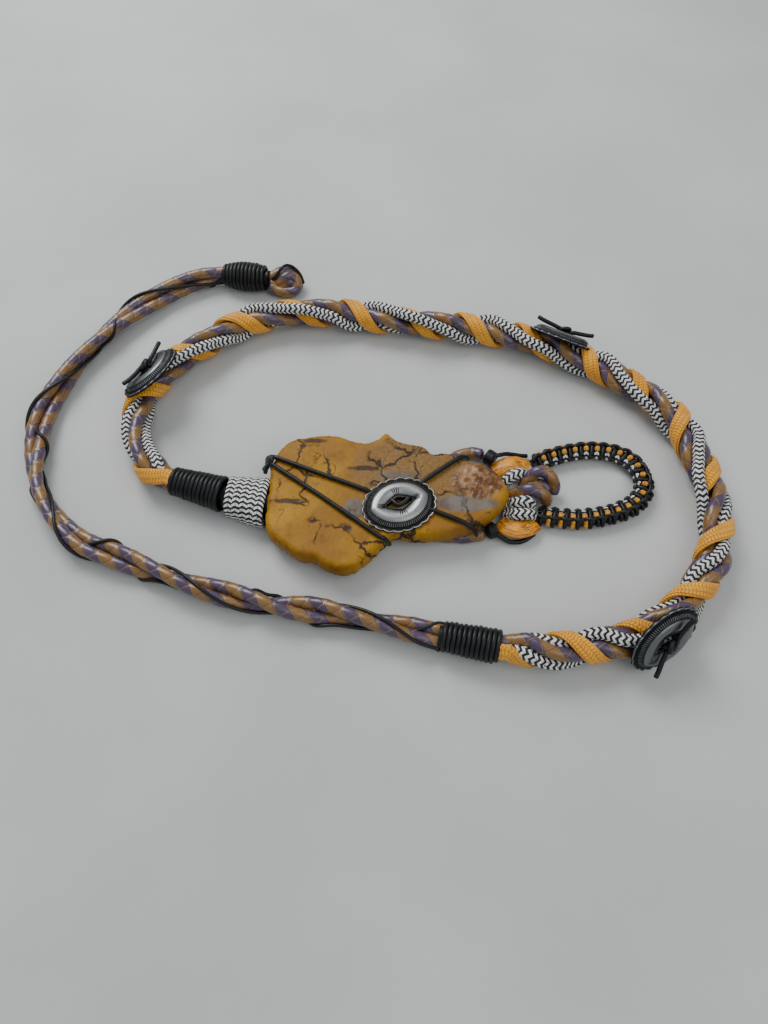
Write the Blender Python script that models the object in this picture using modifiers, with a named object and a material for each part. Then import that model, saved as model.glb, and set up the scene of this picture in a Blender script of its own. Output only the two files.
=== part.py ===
"""Macrame belt: a stone slab and oval conchos on a rope of braided cords, lying on a table.

Lengths are in millimetres. X runs to the right and Y away from the viewer, on the table's
top at Z = 0. Routes are chosen points on the table, measured from the middle of the view.
"""
import math

import bmesh
import bpy
import numpy as np
from mathutils import Matrix, Vector

MM = 0.001

# Cords
LEATHER_DIA = 5.4
PATTERNED_DIA = 5.0
ROPE_SQUEEZE = 0.94
ORANGE_WIDTH = 6.0
ORANGE_THICKNESS = 2.6
BLACK_CORD_DIA = 2.0
LACE_DIA = 1.5

# Clearances
CLEARANCE = 0.3
STRAND_GAP = 0.55
ORANGE_START_SLACK = 0.6
ORANGE_START_LENGTH = 32.0
ORANGE_FACET = 37.0

# Stone slab
STONE_UNDERSIDE = LEATHER_DIA + CLEARANCE
STONE_THICKNESS = 8.5
STONE_EDGE_DROP = 2.2
STONE_EDGE_INSET = 2.4

# Ends at the loop
END_CORD_DIA = 4.6
SILK_WIDTH = 7.0
SILK_THICKNESS = 3.0

# Conchos
CONCHO_LENGTH = 32.0
CONCHO_WIDTH = 26.0
CONCHO_HEIGHT = 4.2
CONCHO_EDGE = 0.9
SLOT_LENGTH = 12.0
SLOT_WIDTH = 5.0
SLOT_LEVEL = 0.6
SCALLOPS = 22
SCALLOP_DEPTH = 0.7
TIE_REACH = 14.0
TIE_KNOT = 1.9

# Wraps of black cord
WRAP_PITCH = 2.05
LEFT_WRAP_START_RADIUS = 6.4
LEFT_WRAP_END_RADIUS = 8.2
BOTTOM_WRAP_START_RADIUS = 7.0
BOTTOM_WRAP_END_RADIUS = 5.9
TAIL_WRAP_START_RADIUS = 5.6
TAIL_WRAP_MIDDLE_RADIUS = 7.4
TAIL_WRAP_END_RADIUS = 6.4

# Patterned wrap beside the stone
BAND_START_HALF_WIDTH = 8.4
BAND_END_HALF_WIDTH = 11.0
BAND_START_HALF_HEIGHT = 7.4
BAND_END_HALF_HEIGHT = 6.2
BAND_TURNS = 5

# Looped end
LOOP_WIDTH = 8.6
LOOP_THICKNESS = 5.4
LOOP_KNOT_PITCH = 4.2
LOOP_KNOT_RISE = 0.6

# Place of the assembly: brings the middle of its footprint to the origin
MIDDLE_X = -7.55
MIDDLE_Y = 34.28

# Routes on the table, chosen by hand
ROPE_ROUTE = [
    (-94.9, 11.5), (-99.4, 13.7), (-104.4, 19.6), (-109.4, 27.0), (-112.8, 35.0), (-114.0, 46.0),
    (-110.8, 61.6),
    (-98.9, 79.3), (-84.3, 91.9), (-67.1, 103.6), (-48.0, 109.0), (-27.2, 109.6), (-5.0, 106.5),
    (23.9, 101.7), (47.7, 98.2), (67.1, 93.2), (87.5, 84.0), (109.2, 70.0), (123.0, 58.0),
    (132.5, 47.0), (138.5, 31.5), (141.6, 15.0), (142.8, -3.0), (139.5, -20.5), (132.0, -35.0),
    (121.0, -47.5), (104.5, -58.8), (85.5, -64.8), (66.0, -67.1), (48.0, -65.7)]
TAIL_ROUTE = [
    (21.0, -60.0), (6.4, -56.4), (-9.7, -53.0), (-26.0, -49.6), (-42.4, -47.4), (-59.1, -43.8),
    (-76.1, -39.0), (-93.4, -32.7), (-111.4, -25.6), (-127.3, -18.8), (-138.0, -10.4),
    (-147.0, 0.0), (-154.0, 11.7), (-157.8, 25.0), (-159.2, 39.0), (-158.2, 52.0),
    (-154.4, 65.5), (-148.4, 81.0), (-140.5, 95.5), (-130.0, 109.0), (-116.0, 122.3),
    (-102.5, 131.8), (-93.5, 136.0), (-85.4, 138.0)]
LOOP_ROUTE = [
    (67.5, 22.6), (73.5, 26.0), (83.0, 29.0), (93.5, 30.6), (104.5, 29.2), (112.6, 24.6),
    (116.4, 16.6), (116.2, 8.8), (111.6, 2.0), (104.5, -2.2), (95.0, -5.0), (85.0, -6.4),
    (75.0, -5.6), (66.5, -4.4)]

# Station along the rope, in mm, where each next core strand comes to the top
CORE_TOP_STATIONS = [
    4.7, 26.0, 68.0, 104.0, 133.0, 168.0, 196.0, 224.0, 250.0, 272.0, 304.0, 331.0, 362.0,
    388.0, 413.0, 442.0, 476.0, 503.0, 532.0]
# Station and turn angle of the orange strand, in degrees round the rope
ORANGE_TURNS = [
    (0.0, 40.0), (10.0, 30.0), (24.0, 0.0), (34.0, -14.0), (42.0, 20.0), (50.0, 90.0),
    (82.0, 450.0), (113.8, 810.0), (143.0, 1170.0), (174.3, 1530.0), (202.2, 1890.0),
    (231.8, 2250.0), (260.0, 2610.0), (290.4, 2970.0), (317.0, 3330.0), (343.1, 3690.0),
    (374.0, 4050.0), (403.5, 4410.0), (434.0, 4770.0), (462.0, 5130.0), (489.0, 5490.0),
    (521.0, 5850.0)]
# Station and angle of the tail's leather pair, then of its two laces, in degrees
TAIL_PAIR_TURNS = [
    (0.0, -20.0), (7.0, 0.0), (36.0, 90.0), (56.0, 180.0), (73.0, 270.0), (91.0, 360.0),
    (118.0, 450.0), (142.0, 540.0), (190.0, 630.0), (222.0, 720.0), (263.0, 810.0),
    (305.0, 900.0), (350.0, 990.0), (400.0, 1090.0)]
TAIL_LACE_TURNS = [
    (0.0, -10.0), (22.0, 90.0), (102.0, 450.0), (172.0, 810.0), (245.0, 1170.0),
    (322.0, 1530.0), (400.0, 1880.0)]
TAIL_BACK_LACE_TURNS = [
    (0.0, 460.0), (78.0, 90.0), (153.0, -270.0), (222.0, -630.0), (295.0, -990.0),
    (370.0, -1350.0), (400.0, -1500.0)]

# Outline of the stone, anticlockwise from its left side
STONE_OUTLINE = [
    (-50.2, 16.0), (-49.8, 11.0), (-50.2, 0.0), (-50.2, -12.0), (-47.6, -18.5), (-41.5, -23.5),
    (-35.0, -28.0), (-29.0, -29.0), (-24.0, -32.0), (-17.5, -34.5), (-12.0, -33.0),
    (-6.5, -28.5), (-1.5, -23.0), (2.0, -20.0), (5.0, -17.5), (13.0, -18.8), (23.5, -18.0),
    (32.0, -16.0), (39.0, -13.5), (45.0, -9.5), (50.5, -4.0), (54.0, 2.0), (52.5, 8.0),
    (48.5, 13.5), (43.0, 17.0), (37.0, 18.8), (32.0, 21.5), (27.0, 23.0), (21.5, 22.5),
    (17.5, 26.5), (10.5, 28.2), (6.0, 29.5), (1.0, 33.8), (-3.0, 30.5), (-10.0, 28.6),
    (-22.5, 32.5), (-36.0, 31.3), (-42.5, 29.0), (-47.5, 22.8), (-48.6, 18.6)]

# Ends of the wraps: (start, end) on the table
LEFT_WRAP = ((-93.2, 10.8), (-68.6, 3.6))
BOTTOM_WRAP = ((46.2, -65.6), (21.8, -60.2))
TAIL_WRAP = ((-83.8, 138.3), (-60.0, 134.6))
BAND_ENDS = ((-67.5, 3.4), (-53.0, 0.6))

# The stone's concho: (x, y, heading)
STONE_CONCHO_PLACE = (6.5, -4.8, 18.0)
# The rope's conchos: (station, lean off the vertical, slide across the rope, turn of the tie)
ROPE_CONCHOS = {
    "left": (61.0, 43.0, 3.0, 0.0),
    "top": (274.0, 46.0, 0.0, 0.0),
    "right": (459.0, 65.0, 3.0, 18.0),
}


# Paths and frames

def smooth_path(points, step):
    """Evenly spaced points, about step apart, on a smooth curve through the given points."""
    pts = np.array(points, dtype=float)
    ends = [2 * pts[0] - pts[1]], [2 * pts[-1] - pts[-2]]
    padded = np.vstack([ends[0], pts, ends[1]])
    fine = []
    for i in range(1, len(padded) - 2):
        p0, p1, p2, p3 = padded[i - 1:i + 3]
        for t in np.linspace(0.0, 1.0, 24, endpoint=False):
            fine.append(0.5 * (2 * p1 + (p2 - p0) * t + (2 * p0 - 5 * p1 + 4 * p2 - p3) * t * t
                               + (3 * p1 - p0 - 3 * p2 + p3) * t ** 3))
    fine.append(padded[-2])
    fine = np.array(fine)
    length = np.concatenate([[0.0], np.cumsum(np.linalg.norm(np.diff(fine, axis=0), axis=1))])
    count = max(2, round(length[-1] / step) + 1)
    stations = np.linspace(0.0, length[-1], count)
    path = np.stack([np.interp(stations, length, fine[:, k]) for k in range(fine.shape[1])], axis=1)
    return stations, path


def left_normals(path):
    """Unit vectors to the left of a path on the table."""
    along = np.gradient(path, axis=0)
    along /= np.linalg.norm(along, axis=1)[:, None]
    return np.stack([-along[:, 1], along[:, 0]], axis=1)


def turn_angle(stations, turns):
    """Angle in radians at each station, read from a table of (station, degrees)."""
    table = np.array(turns)
    return np.radians(np.interp(stations, table[:, 0], table[:, 1]))


def soften(values, passes):
    """Smooth a row of values, keeping its ends."""
    values = values.copy()
    for _ in range(passes):
        values[1:-1] += 0.5 * (0.5 * (values[:-2] + values[2:]) - values[1:-1])
    return values


# Strands laid round a straightened rope

def strand(angle, radius, half_thickness, half_width=0.0):
    """A strand at an angle and a distance from the rope's middle at each station."""
    place = np.stack([radius * np.cos(angle), radius * np.sin(angle)], axis=1)
    return {"place": place, "half_thickness": half_thickness, "half_width": half_width}


def strand_lines(stations, item):
    """Lines that fill a strand: one for a round cord, three side by side for a flat one."""
    middle = np.column_stack([stations, item["place"]])
    if item["half_width"] <= 0:
        return [middle]
    along = np.gradient(middle, axis=0)
    outward = np.column_stack([np.zeros(len(stations)), item["place"]])
    side = np.cross(along, outward)
    side /= np.linalg.norm(side, axis=1)[:, None] + 1e-9
    reach = side * (item["half_width"] - item["half_thickness"])
    return [middle - reach, middle, middle + reach]


def part_lines(line_a, line_b, needed, window):
    """Moves that push two lines apart where they are nearer than needed."""
    count = len(line_a)
    gaps = []
    rows = np.arange(count)
    for shift in range(-window, window + 1):
        other = np.clip(rows + shift, 0, count - 1)
        gaps.append(np.linalg.norm(line_a - line_b[other], axis=1))
    gaps = np.array(gaps)
    nearest = np.argmin(gaps, axis=0)
    distance = gaps[nearest, rows]
    other = np.clip(rows + nearest - window, 0, count - 1)
    apart = line_a - line_b[other]
    direction = apart[:, 1:] / (np.linalg.norm(apart[:, 1:], axis=1)[:, None] + 1e-9)
    push = np.clip(needed - distance, 0.0, None)[:, None] * direction * 0.5
    move_a = push
    move_b = np.zeros_like(push)
    touched = push.any(axis=1)
    move_b[other[touched]] = -push[touched]
    return move_a, move_b


def settle(stations, strands, gap, tighten_passes=120, clear_passes=60):
    """Draw the strands tight round each other, then clear every touch."""
    spacing = stations[1] - stations[0]
    window = int(math.ceil(9.0 / spacing))
    for turn in range(tighten_passes + clear_passes):
        tension = 0.30 * (1 - turn / tighten_passes) if turn < tighten_passes else 0.0
        lines = [strand_lines(stations, item) for item in strands]
        moves = [np.zeros_like(item["place"]) for item in strands]
        for a in range(len(strands)):
            for b in range(a + 1, len(strands)):
                needed = strands[a]["half_thickness"] + strands[b]["half_thickness"] + gap
                for line_a in lines[a]:
                    for line_b in lines[b]:
                        move_a, move_b = part_lines(line_a, line_b, needed, window)
                        moves[a] = np.where(np.abs(move_a) > np.abs(moves[a]), move_a, moves[a])
                        moves[b] = np.where(np.abs(move_b) > np.abs(moves[b]), move_b, moves[b])
        for item, move in zip(strands, moves):
            place = item["place"] + soften(move, 1)
            middle = 0.5 * (place[:-2] + place[2:])
            place[1:-1] += tension * (middle - place[1:-1])
            item["place"] = place
    return strands


def rope_strands(step=1.0):
    """The rope's four core strands, twisted together, and the orange strand round them."""
    stations, path = smooth_path(ROPE_ROUTE, step)
    count = len(CORE_TOP_STATIONS)
    core_table = [(s, 90.0 * k) for k, s in enumerate(CORE_TOP_STATIONS)]
    core_table.insert(0, (CORE_TOP_STATIONS[0] - 30.0, -90.0))
    core_table.append((CORE_TOP_STATIONS[-1] + 30.0, 90.0 * count))
    core = soften(turn_angle(stations, core_table), 120) + math.pi / 2
    orange = soften(turn_angle(stations, ORANGE_TURNS), 12)
    leather_dia = LEATHER_DIA * ROPE_SQUEEZE
    patterned_dia = PATTERNED_DIA * ROPE_SQUEEZE
    core_radius = (0.5 * (leather_dia + patterned_dia) + STRAND_GAP) / math.sqrt(2)
    over_radius = core_radius + 0.5 * (leather_dia + ORANGE_THICKNESS) + STRAND_GAP
    slack = np.interp(stations, (0.0, ORANGE_START_LENGTH), (ORANGE_START_SLACK, 0.0))
    even = np.ones(len(stations))
    strands = {}
    for k, name in enumerate(("patterned_strand_a", "leather_strand_a",
                              "patterned_strand_b", "leather_strand_b")):
        dia = patterned_dia if name.startswith("patterned") else leather_dia
        strands[name] = strand(core - 0.5 * math.pi * k, core_radius * even, 0.5 * dia)
    strands["orange_strand"] = strand(orange, over_radius + slack, 0.5 * ORANGE_THICKNESS,
                                      0.5 * ORANGE_WIDTH)
    return stations, path, strands


def tail_strands(step=2.5):
    """The tail's two leather cords and the two laces that cross round them."""
    stations, path = smooth_path(TAIL_ROUTE, step)
    pair = soften(turn_angle(stations, TAIL_PAIR_TURNS), 8)
    lace = soften(turn_angle(stations, TAIL_LACE_TURNS), 4)
    back = soften(turn_angle(stations, TAIL_BACK_LACE_TURNS), 4)
    pair_radius = 0.5 * (LEATHER_DIA + STRAND_GAP)
    lace_radius = pair_radius + 0.5 * (LEATHER_DIA + LACE_DIA) + STRAND_GAP
    back_radius = lace_radius + LACE_DIA + STRAND_GAP
    even = np.ones(len(stations))
    passing = np.zeros(len(stations))
    for station in [row[0] for row in TAIL_BACK_LACE_TURNS[1:-1]]:
        past = stations - station
        passing = np.maximum(passing, np.clip(np.minimum(past + 4.0, 22.0 - past) / 6.0, 0.0, 1.0))
    strands = [strand(pair, pair_radius * even, 0.5 * LEATHER_DIA),
               strand(pair + math.pi, pair_radius * even, 0.5 * LEATHER_DIA),
               strand(lace, lace_radius * even, 0.5 * LACE_DIA),
               strand(back, back_radius * (1.0 - 0.95 * passing), 0.5 * LACE_DIA)]
    names = ["tail_leather_a", "tail_leather_b", "tail_lace", "tail_back_lace"]
    return stations, path, dict(zip(names, settle(stations, strands, STRAND_GAP)))


def lowest_reach(strands):
    """How far the strands reach below the rope's middle."""
    return max(float(-item["place"][:, 1].min()) + item["half_thickness"] for item in strands.values())


def on_table(path, place, height):
    """World points of a strand: its place is to the left of and above the rope's middle."""
    normals = left_normals(path)
    flat = path + normals * place[:, :1]
    return np.column_stack([flat, place[:, 1] + height])


# Blender helpers

def clear_scene():
    for item in list(bpy.data.objects):
        bpy.data.objects.remove(item, do_unlink=True)


def material(name, color, roughness, metallic=0.0):
    """A Principled BSDF material, made once."""
    found = bpy.data.materials.get(name)
    if found:
        return found
    made = bpy.data.materials.new(name)
    made.use_nodes = True
    shader = made.node_tree.nodes["Principled BSDF"]
    shader.inputs["Base Color"].default_value = (*color, 1.0)
    shader.inputs["Roughness"].default_value = roughness
    shader.inputs["Metallic"].default_value = metallic
    return made


def leather():
    return material("purple_tan_leather", (0.24, 0.15, 0.17), 0.35)


def patterned():
    return material("black_white_cord", (0.45, 0.45, 0.43), 0.8)


def orange():
    return material("orange_cord", (0.72, 0.33, 0.03), 0.7)


def black_cord():
    return material("black_cord", (0.012, 0.013, 0.014), 0.3)


def silver():
    return material("silver", (0.55, 0.56, 0.57), 0.3, 1.0)


def stone_material():
    return material("stone", (0.42, 0.24, 0.04), 0.45)


def link(name, data, finish):
    """An object in the belt's collection, with one material."""
    thing = bpy.data.objects.new(name, data)
    data.materials.append(finish)
    belt.objects.link(thing)
    thing.parent = stand
    return thing


def tube(name, points, dia, finish, resolution=1, thickness=None):
    """A round cord through points; thickness may scale its radius at each point."""
    curve = bpy.data.curves.new(name, "CURVE")
    curve.dimensions = "3D"
    curve.bevel_depth = 0.5 * dia * MM
    curve.bevel_resolution = resolution
    curve.use_fill_caps = True
    spline = curve.splines.new("POLY")
    spline.points.add(len(points) - 1)
    for i, point in enumerate(points):
        spline.points[i].co = (point[0] * MM, point[1] * MM, point[2] * MM, 1.0)
        if thickness is not None:
            spline.points[i].radius = float(thickness[i])
    return link(name, curve, finish)


def loft(name, rings, finish, closed=False):
    """A mesh over rings of equal length, capped at both ends or closed on itself."""
    bm = bmesh.new()
    loops = [[bm.verts.new(Vector(point) * MM) for point in ring] for ring in rings]
    sides = len(loops[0])
    last = len(loops) if closed else len(loops) - 1
    for i in range(last):
        low = loops[i]
        high = loops[(i + 1) % len(loops)]
        for k in range(sides):
            m = (k + 1) % sides
            bm.faces.new((low[k], low[m], high[m], high[k]))
    if not closed:
        bm.faces.new(list(reversed(loops[0])))
        bm.faces.new(loops[-1])
    bmesh.ops.recalc_face_normals(bm, faces=bm.faces)
    mesh = bpy.data.meshes.new(name)
    bm.to_mesh(mesh)
    bm.free()
    thing = link(name, mesh, finish)
    mesh.shade_smooth()
    mesh.set_sharp_from_angle(angle=math.radians(50))
    return thing


def every(count, step):
    """Indices of every step-th row, ending on the last."""
    picked = list(range(0, count - 1, step))
    if count - 1 - picked[-1] < step * 0.5 and len(picked) > 1:
        picked.pop()
    return picked + [count - 1]


# Rope and tail

def make_flat_strand(name, centres, outward, half_width, half_thickness, finish, sides=6):
    """A flat cord whose broad faces lie against what it is wound round."""
    along = np.gradient(centres, axis=0)
    along /= np.linalg.norm(along, axis=1)[:, None]
    side = np.cross(along, outward)
    side /= np.linalg.norm(side, axis=1)[:, None]
    up = np.cross(side, along)
    rings = []
    for centre, across, out in zip(centres, side, up):
        ring = []
        for k in range(sides):
            angle = 2 * math.pi * k / sides
            ring.append(centre + across * half_width * math.cos(angle)
                        + out * half_thickness * 1.1 * math.sin(angle))
        rings.append(ring)
    return loft(name, rings, finish)


def make_rope():
    """The rope from the left wrap round to the bottom wrap."""
    stations, path, strands = rope_strands()
    height = lowest_reach(strands)
    for name, item in strands.items():
        points = on_table(path, item["place"], height)
        if name == "orange_strand":
            middle = np.column_stack([path, np.full(len(path), height)])
            turned = np.unwrap(np.arctan2(item["place"][:, 1], item["place"][:, 0]))
            travel = np.cumsum(np.abs(np.gradient(turned)) + math.radians(1.2))
            count = round((travel[-1] - travel[0]) / math.radians(ORANGE_FACET)) + 1
            picked = np.searchsorted(travel, np.linspace(travel[0], travel[-1] - 1e-6, count))
            make_flat_strand(name, points[picked], points[picked] - middle[picked],
                             0.5 * ORANGE_WIDTH, 0.5 * ORANGE_THICKNESS, orange())
        else:
            finish = patterned() if name.startswith("patterned") else leather()
            tube(name, points[every(len(points), 11)], 2 * item["half_thickness"], finish)
    return stations, path, strands, height


def make_tail():
    """The tail from the bottom wrap round to the tail wrap."""
    stations, path, strands = tail_strands()
    height = lowest_reach(strands)
    for name, item in strands.items():
        points = on_table(path, item["place"], height)
        if "lace" in name:
            tube(name, points[every(len(points), 2)], LACE_DIA, black_cord(), resolution=0)
        else:
            tube(name, points[every(len(points), 3)], LEATHER_DIA, leather())
    return height


# Wraps

def ribbed_wrap(name, ends, height, radii, pitch, finish, steps=10):
    """Turns of cord side by side: a turned profile with a rib for each turn.

    radii are the outer radius at shares of the length, evenly spaced.
    """
    start = Vector((*ends[0], height[0]))
    end = Vector((*ends[1], height[1]))
    length = (end - start).length
    turns = max(2, round(length / pitch))
    groove = 0.22 * length / turns
    shares = np.linspace(0.0, 1.0, 2 * turns + 1)
    outer = np.interp(shares, np.linspace(0, 1, len(radii)), radii)
    profile = [(0.0, length)]
    for i in range(2 * turns, -1, -1):
        rib = outer[i] if i % 2 else outer[i] - groove
        profile.append((rib, shares[i] * length))
    profile.append((0.0, 0.0))
    bm = bmesh.new()
    verts = [bm.verts.new((x * MM, 0.0, z * MM)) for x, z in profile]
    for a, b in zip(verts[:-1], verts[1:]):
        bm.edges.new((a, b))
    mesh = bpy.data.meshes.new(name)
    bm.to_mesh(mesh)
    bm.free()
    thing = link(name, mesh, finish)
    screw = thing.modifiers.new("turned", "SCREW")
    screw.steps = steps
    screw.render_steps = steps
    screw.use_merge_vertices = True
    screw.merge_threshold = 0.00001
    screw.use_normal_calculate = True
    thing.location = start * MM
    thing.rotation_euler = (end - start).to_track_quat("Z", "Y").to_euler()
    return thing


def make_wraps(rope_height, tail_height):
    ribbed_wrap("left_wrap", LEFT_WRAP, (rope_height, LEFT_WRAP_END_RADIUS + 0.4),
                (LEFT_WRAP_START_RADIUS, LEFT_WRAP_END_RADIUS), WRAP_PITCH, black_cord())
    ribbed_wrap("bottom_wrap", BOTTOM_WRAP, (rope_height, tail_height),
                (BOTTOM_WRAP_START_RADIUS, BOTTOM_WRAP_END_RADIUS), WRAP_PITCH, black_cord())
    ribbed_wrap("tail_wrap", TAIL_WRAP, (tail_height, TAIL_WRAP_MIDDLE_RADIUS),
                (TAIL_WRAP_START_RADIUS, TAIL_WRAP_MIDDLE_RADIUS, TAIL_WRAP_MIDDLE_RADIUS,
                 TAIL_WRAP_END_RADIUS), WRAP_PITCH, black_cord())


def make_band():
    """The patterned cord wound side by side between the left wrap and the stone."""
    start = np.array(BAND_ENDS[0])
    end = np.array(BAND_ENDS[1])
    along = (end - start) / np.linalg.norm(end - start)
    across = np.array([-along[1], along[0]])
    count = 3 * BAND_TURNS
    sides = 12
    rings = []
    for i in range(count + 1):
        share = i / count
        rise = 0.0 if i % 3 == 0 else 0.45
        half_width = BAND_START_HALF_WIDTH + (BAND_END_HALF_WIDTH - BAND_START_HALF_WIDTH) * share
        half_height = BAND_START_HALF_HEIGHT + (BAND_END_HALF_HEIGHT - BAND_START_HALF_HEIGHT) * share
        middle = start + (end - start) * share
        low = half_height + 0.45
        ring = []
        for k in range(sides):
            angle = 2 * math.pi * k / sides
            y = (half_width + rise) * math.copysign(abs(math.cos(angle)) ** 0.8, math.cos(angle))
            z = (half_height + rise) * math.copysign(abs(math.sin(angle)) ** 0.8, math.sin(angle))
            ring.append((middle[0] + across[0] * y, middle[1] + across[1] * y, low + z))
        rings.append(ring)
    return loft("patterned_wrap", rings, patterned())


# Stone, conchos and lacing

def inset(points, amount):
    """Move each point of an anticlockwise outline inwards."""
    pts = np.array(points)
    ahead = np.roll(pts, -1, axis=0) - pts
    back = pts - np.roll(pts, 1, axis=0)
    along = ahead / np.linalg.norm(ahead, axis=1)[:, None] + back / np.linalg.norm(back, axis=1)[:, None]
    along /= np.linalg.norm(along, axis=1)[:, None]
    return pts + amount * np.stack([-along[:, 1], along[:, 0]], axis=1)


def make_stone():
    """A slab with a flat back and worn edges."""
    top = STONE_UNDERSIDE + STONE_THICKNESS
    levels = [
        (STONE_EDGE_INSET * 0.7, STONE_UNDERSIDE),
        (0.0, STONE_UNDERSIDE + 0.35 * STONE_THICKNESS),
        (0.1 * STONE_EDGE_INSET, top - STONE_EDGE_DROP),
        (STONE_EDGE_INSET, top),
    ]
    rings = []
    for amount, z in levels:
        rings.append([(x, y, z) for x, y in inset(STONE_OUTLINE, amount)])
    return loft("stone_slab", rings, stone_material())


def concho_rings():
    """Rings of a domed oval concho with a scalloped rim and an open slot, back at Z = 0."""
    segments = 2 * SCALLOPS
    half = (0.5 * CONCHO_LENGTH, 0.5 * CONCHO_WIDTH)
    slot = (0.5 * SLOT_LENGTH, 0.5 * SLOT_WIDTH)
    sections = [
        ("slot", 0.0, SLOT_LEVEL * CONCHO_HEIGHT),
        ("oval", 0.60, CONCHO_HEIGHT),
        ("rim", 1.0, CONCHO_EDGE),
        ("rim", 1.0, 0.0),
        ("slot", 0.0, 0.0),
    ]
    rings = []
    for kind, share, z in sections:
        ring = []
        for k in range(segments):
            angle = 2 * math.pi * k / segments
            c, s = math.cos(angle), math.sin(angle)
            if kind == "slot":
                reach = 1.0 / (abs(c) + abs(s))
                ring.append((slot[0] * c * reach, slot[1] * s * reach, z))
            else:
                dent = SCALLOP_DEPTH if kind == "rim" and k % 2 else 0.0
                ring.append(((half[0] * share - dent) * c, (half[1] * share - dent) * s, z))
        rings.append(ring)
    return rings


def make_concho(name, place, heading, lean=0.0):
    """A concho at place, its long axis at heading, leaning over about that axis."""
    thing = loft(name, concho_rings(), silver(), closed=True)
    facing = Matrix.Rotation(math.radians(heading), 4, "Z") @ Matrix.Rotation(math.radians(lean), 4, "X")
    thing.matrix_local = Matrix.Translation(Vector(place) * MM) @ facing
    return thing


def make_stone_concho():
    x, y, heading = STONE_CONCHO_PLACE
    top = STONE_UNDERSIDE + STONE_THICKNESS + CLEARANCE
    make_concho("stone_concho", (x, y, top), heading)


def make_rope_conchos(stations, path, strands, rope_height):
    """Conchos tied on the rope's outer side, each seated on the strands under it."""
    normals = left_normals(path)
    heading_of = np.gradient(path, axis=0)
    for side, (station, lean, slide, turn) in ROPE_CONCHOS.items():
        i = int(np.argmin(np.abs(stations - station)))
        heading = math.degrees(math.atan2(heading_of[i][1], heading_of[i][0]))
        tilt = math.radians(lean)
        level = np.array([normals[i][0], normals[i][1], 0.0])
        along = np.array([math.cos(math.radians(heading)), math.sin(math.radians(heading)), 0.0])
        out = level * math.sin(tilt) + np.array([0.0, 0.0, math.cos(tilt)])
        across = np.array([0.0, 0.0, math.sin(tilt)]) - level * math.cos(tilt)
        start = np.array([*path[i], rope_height])
        seat = 0.0
        for item in strands.values():
            under = on_table(path, item["place"], rope_height) - start
            margin = max(item["half_width"], item["half_thickness"])
            u = under @ along / (0.5 * CONCHO_LENGTH + margin)
            v = (under @ across - slide) / (0.5 * CONCHO_WIDTH + margin)
            near = u * u + v * v < 1.0
            if near.any():
                seat = max(seat, float((under[near] @ out).max()) + item["half_thickness"])
        middle = start + out * (seat + CLEARANCE) + across * slide
        make_concho("rope_concho_" + side, middle, heading, -lean)
        swing = math.radians(turn)
        make_tie("concho_tie_" + side, middle, out,
                 along * math.cos(swing) + across * math.sin(swing))


def make_tie(name, middle, out, along):
    """A knotted black cord over the slot with two short free ends."""
    lift = CONCHO_HEIGHT + 0.5 * BLACK_CORD_DIA + CLEARANCE
    knot = SLOT_LEVEL * CONCHO_HEIGHT + 0.5 * BLACK_CORD_DIA * TIE_KNOT
    rows = [(-TIE_REACH, lift + 0.6, 1.0), (-0.6 * TIE_REACH, lift + 0.3, 1.0),
            (-0.3 * TIE_REACH, knot + 0.3, 1.0), (-0.13 * TIE_REACH, knot, TIE_KNOT),
            (0.13 * TIE_REACH, knot, TIE_KNOT), (0.3 * TIE_REACH, knot + 0.3, 1.0),
            (0.6 * TIE_REACH, lift + 0.3, 1.0), (TIE_REACH, lift + 0.8, 1.0)]
    points = [middle + along * a + out * b for a, b, thick in rows]
    tube(name, points, BLACK_CORD_DIA, black_cord(), thickness=[thick for a, b, thick in rows])


def make_lacing():
    """Black cord laid over the stone from its edges to the concho."""
    top = STONE_UNDERSIDE + STONE_THICKNESS + 0.5 * BLACK_CORD_DIA + CLEARANCE
    edge = top - STONE_EDGE_DROP
    runs = {
        "lacing_left_upper": [(-50.6, 19.9, edge - 1.5), (-48.0, 19.2, top - 0.3), (-30.0, 11.6, top),
                              (-10.6, 3.6, top)],
        "lacing_left_lower": [(-51.6, 16.6, edge - 1.5), (-48.4, 15.4, top - 0.3), (-24.0, -2.8, top),
                              (-2.0, -19.6, top), (0.6, -22.0, top - 0.3), (2.1, -23.3, edge - 1.6)],
        "lacing_right_upper": [(19.6, 9.0, top), (29.0, 16.0, top), (33.6, 19.4, top - 0.5),
                               (36.4, 21.4, edge - 1.5)],
        "lacing_right_lower": [(21.6, -8.0, top), (33.0, -13.2, top), (37.6, -15.6, edge - 0.2)],
    }
    for name, points in runs.items():
        tube(name, points, BLACK_CORD_DIA, black_cord())


# Bindings at the stone's right end, and the loop

def flat_run(name, points, finish):
    """A flat band of loose yarns, lying face up."""
    stations, route = smooth_path(points, 3.0)
    facing = np.tile(np.array([0.0, 0.0, 1.0]), (len(route), 1))
    make_flat_strand(name, route, facing, 0.5 * SILK_WIDTH, 0.5 * SILK_THICKNESS, finish)


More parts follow.
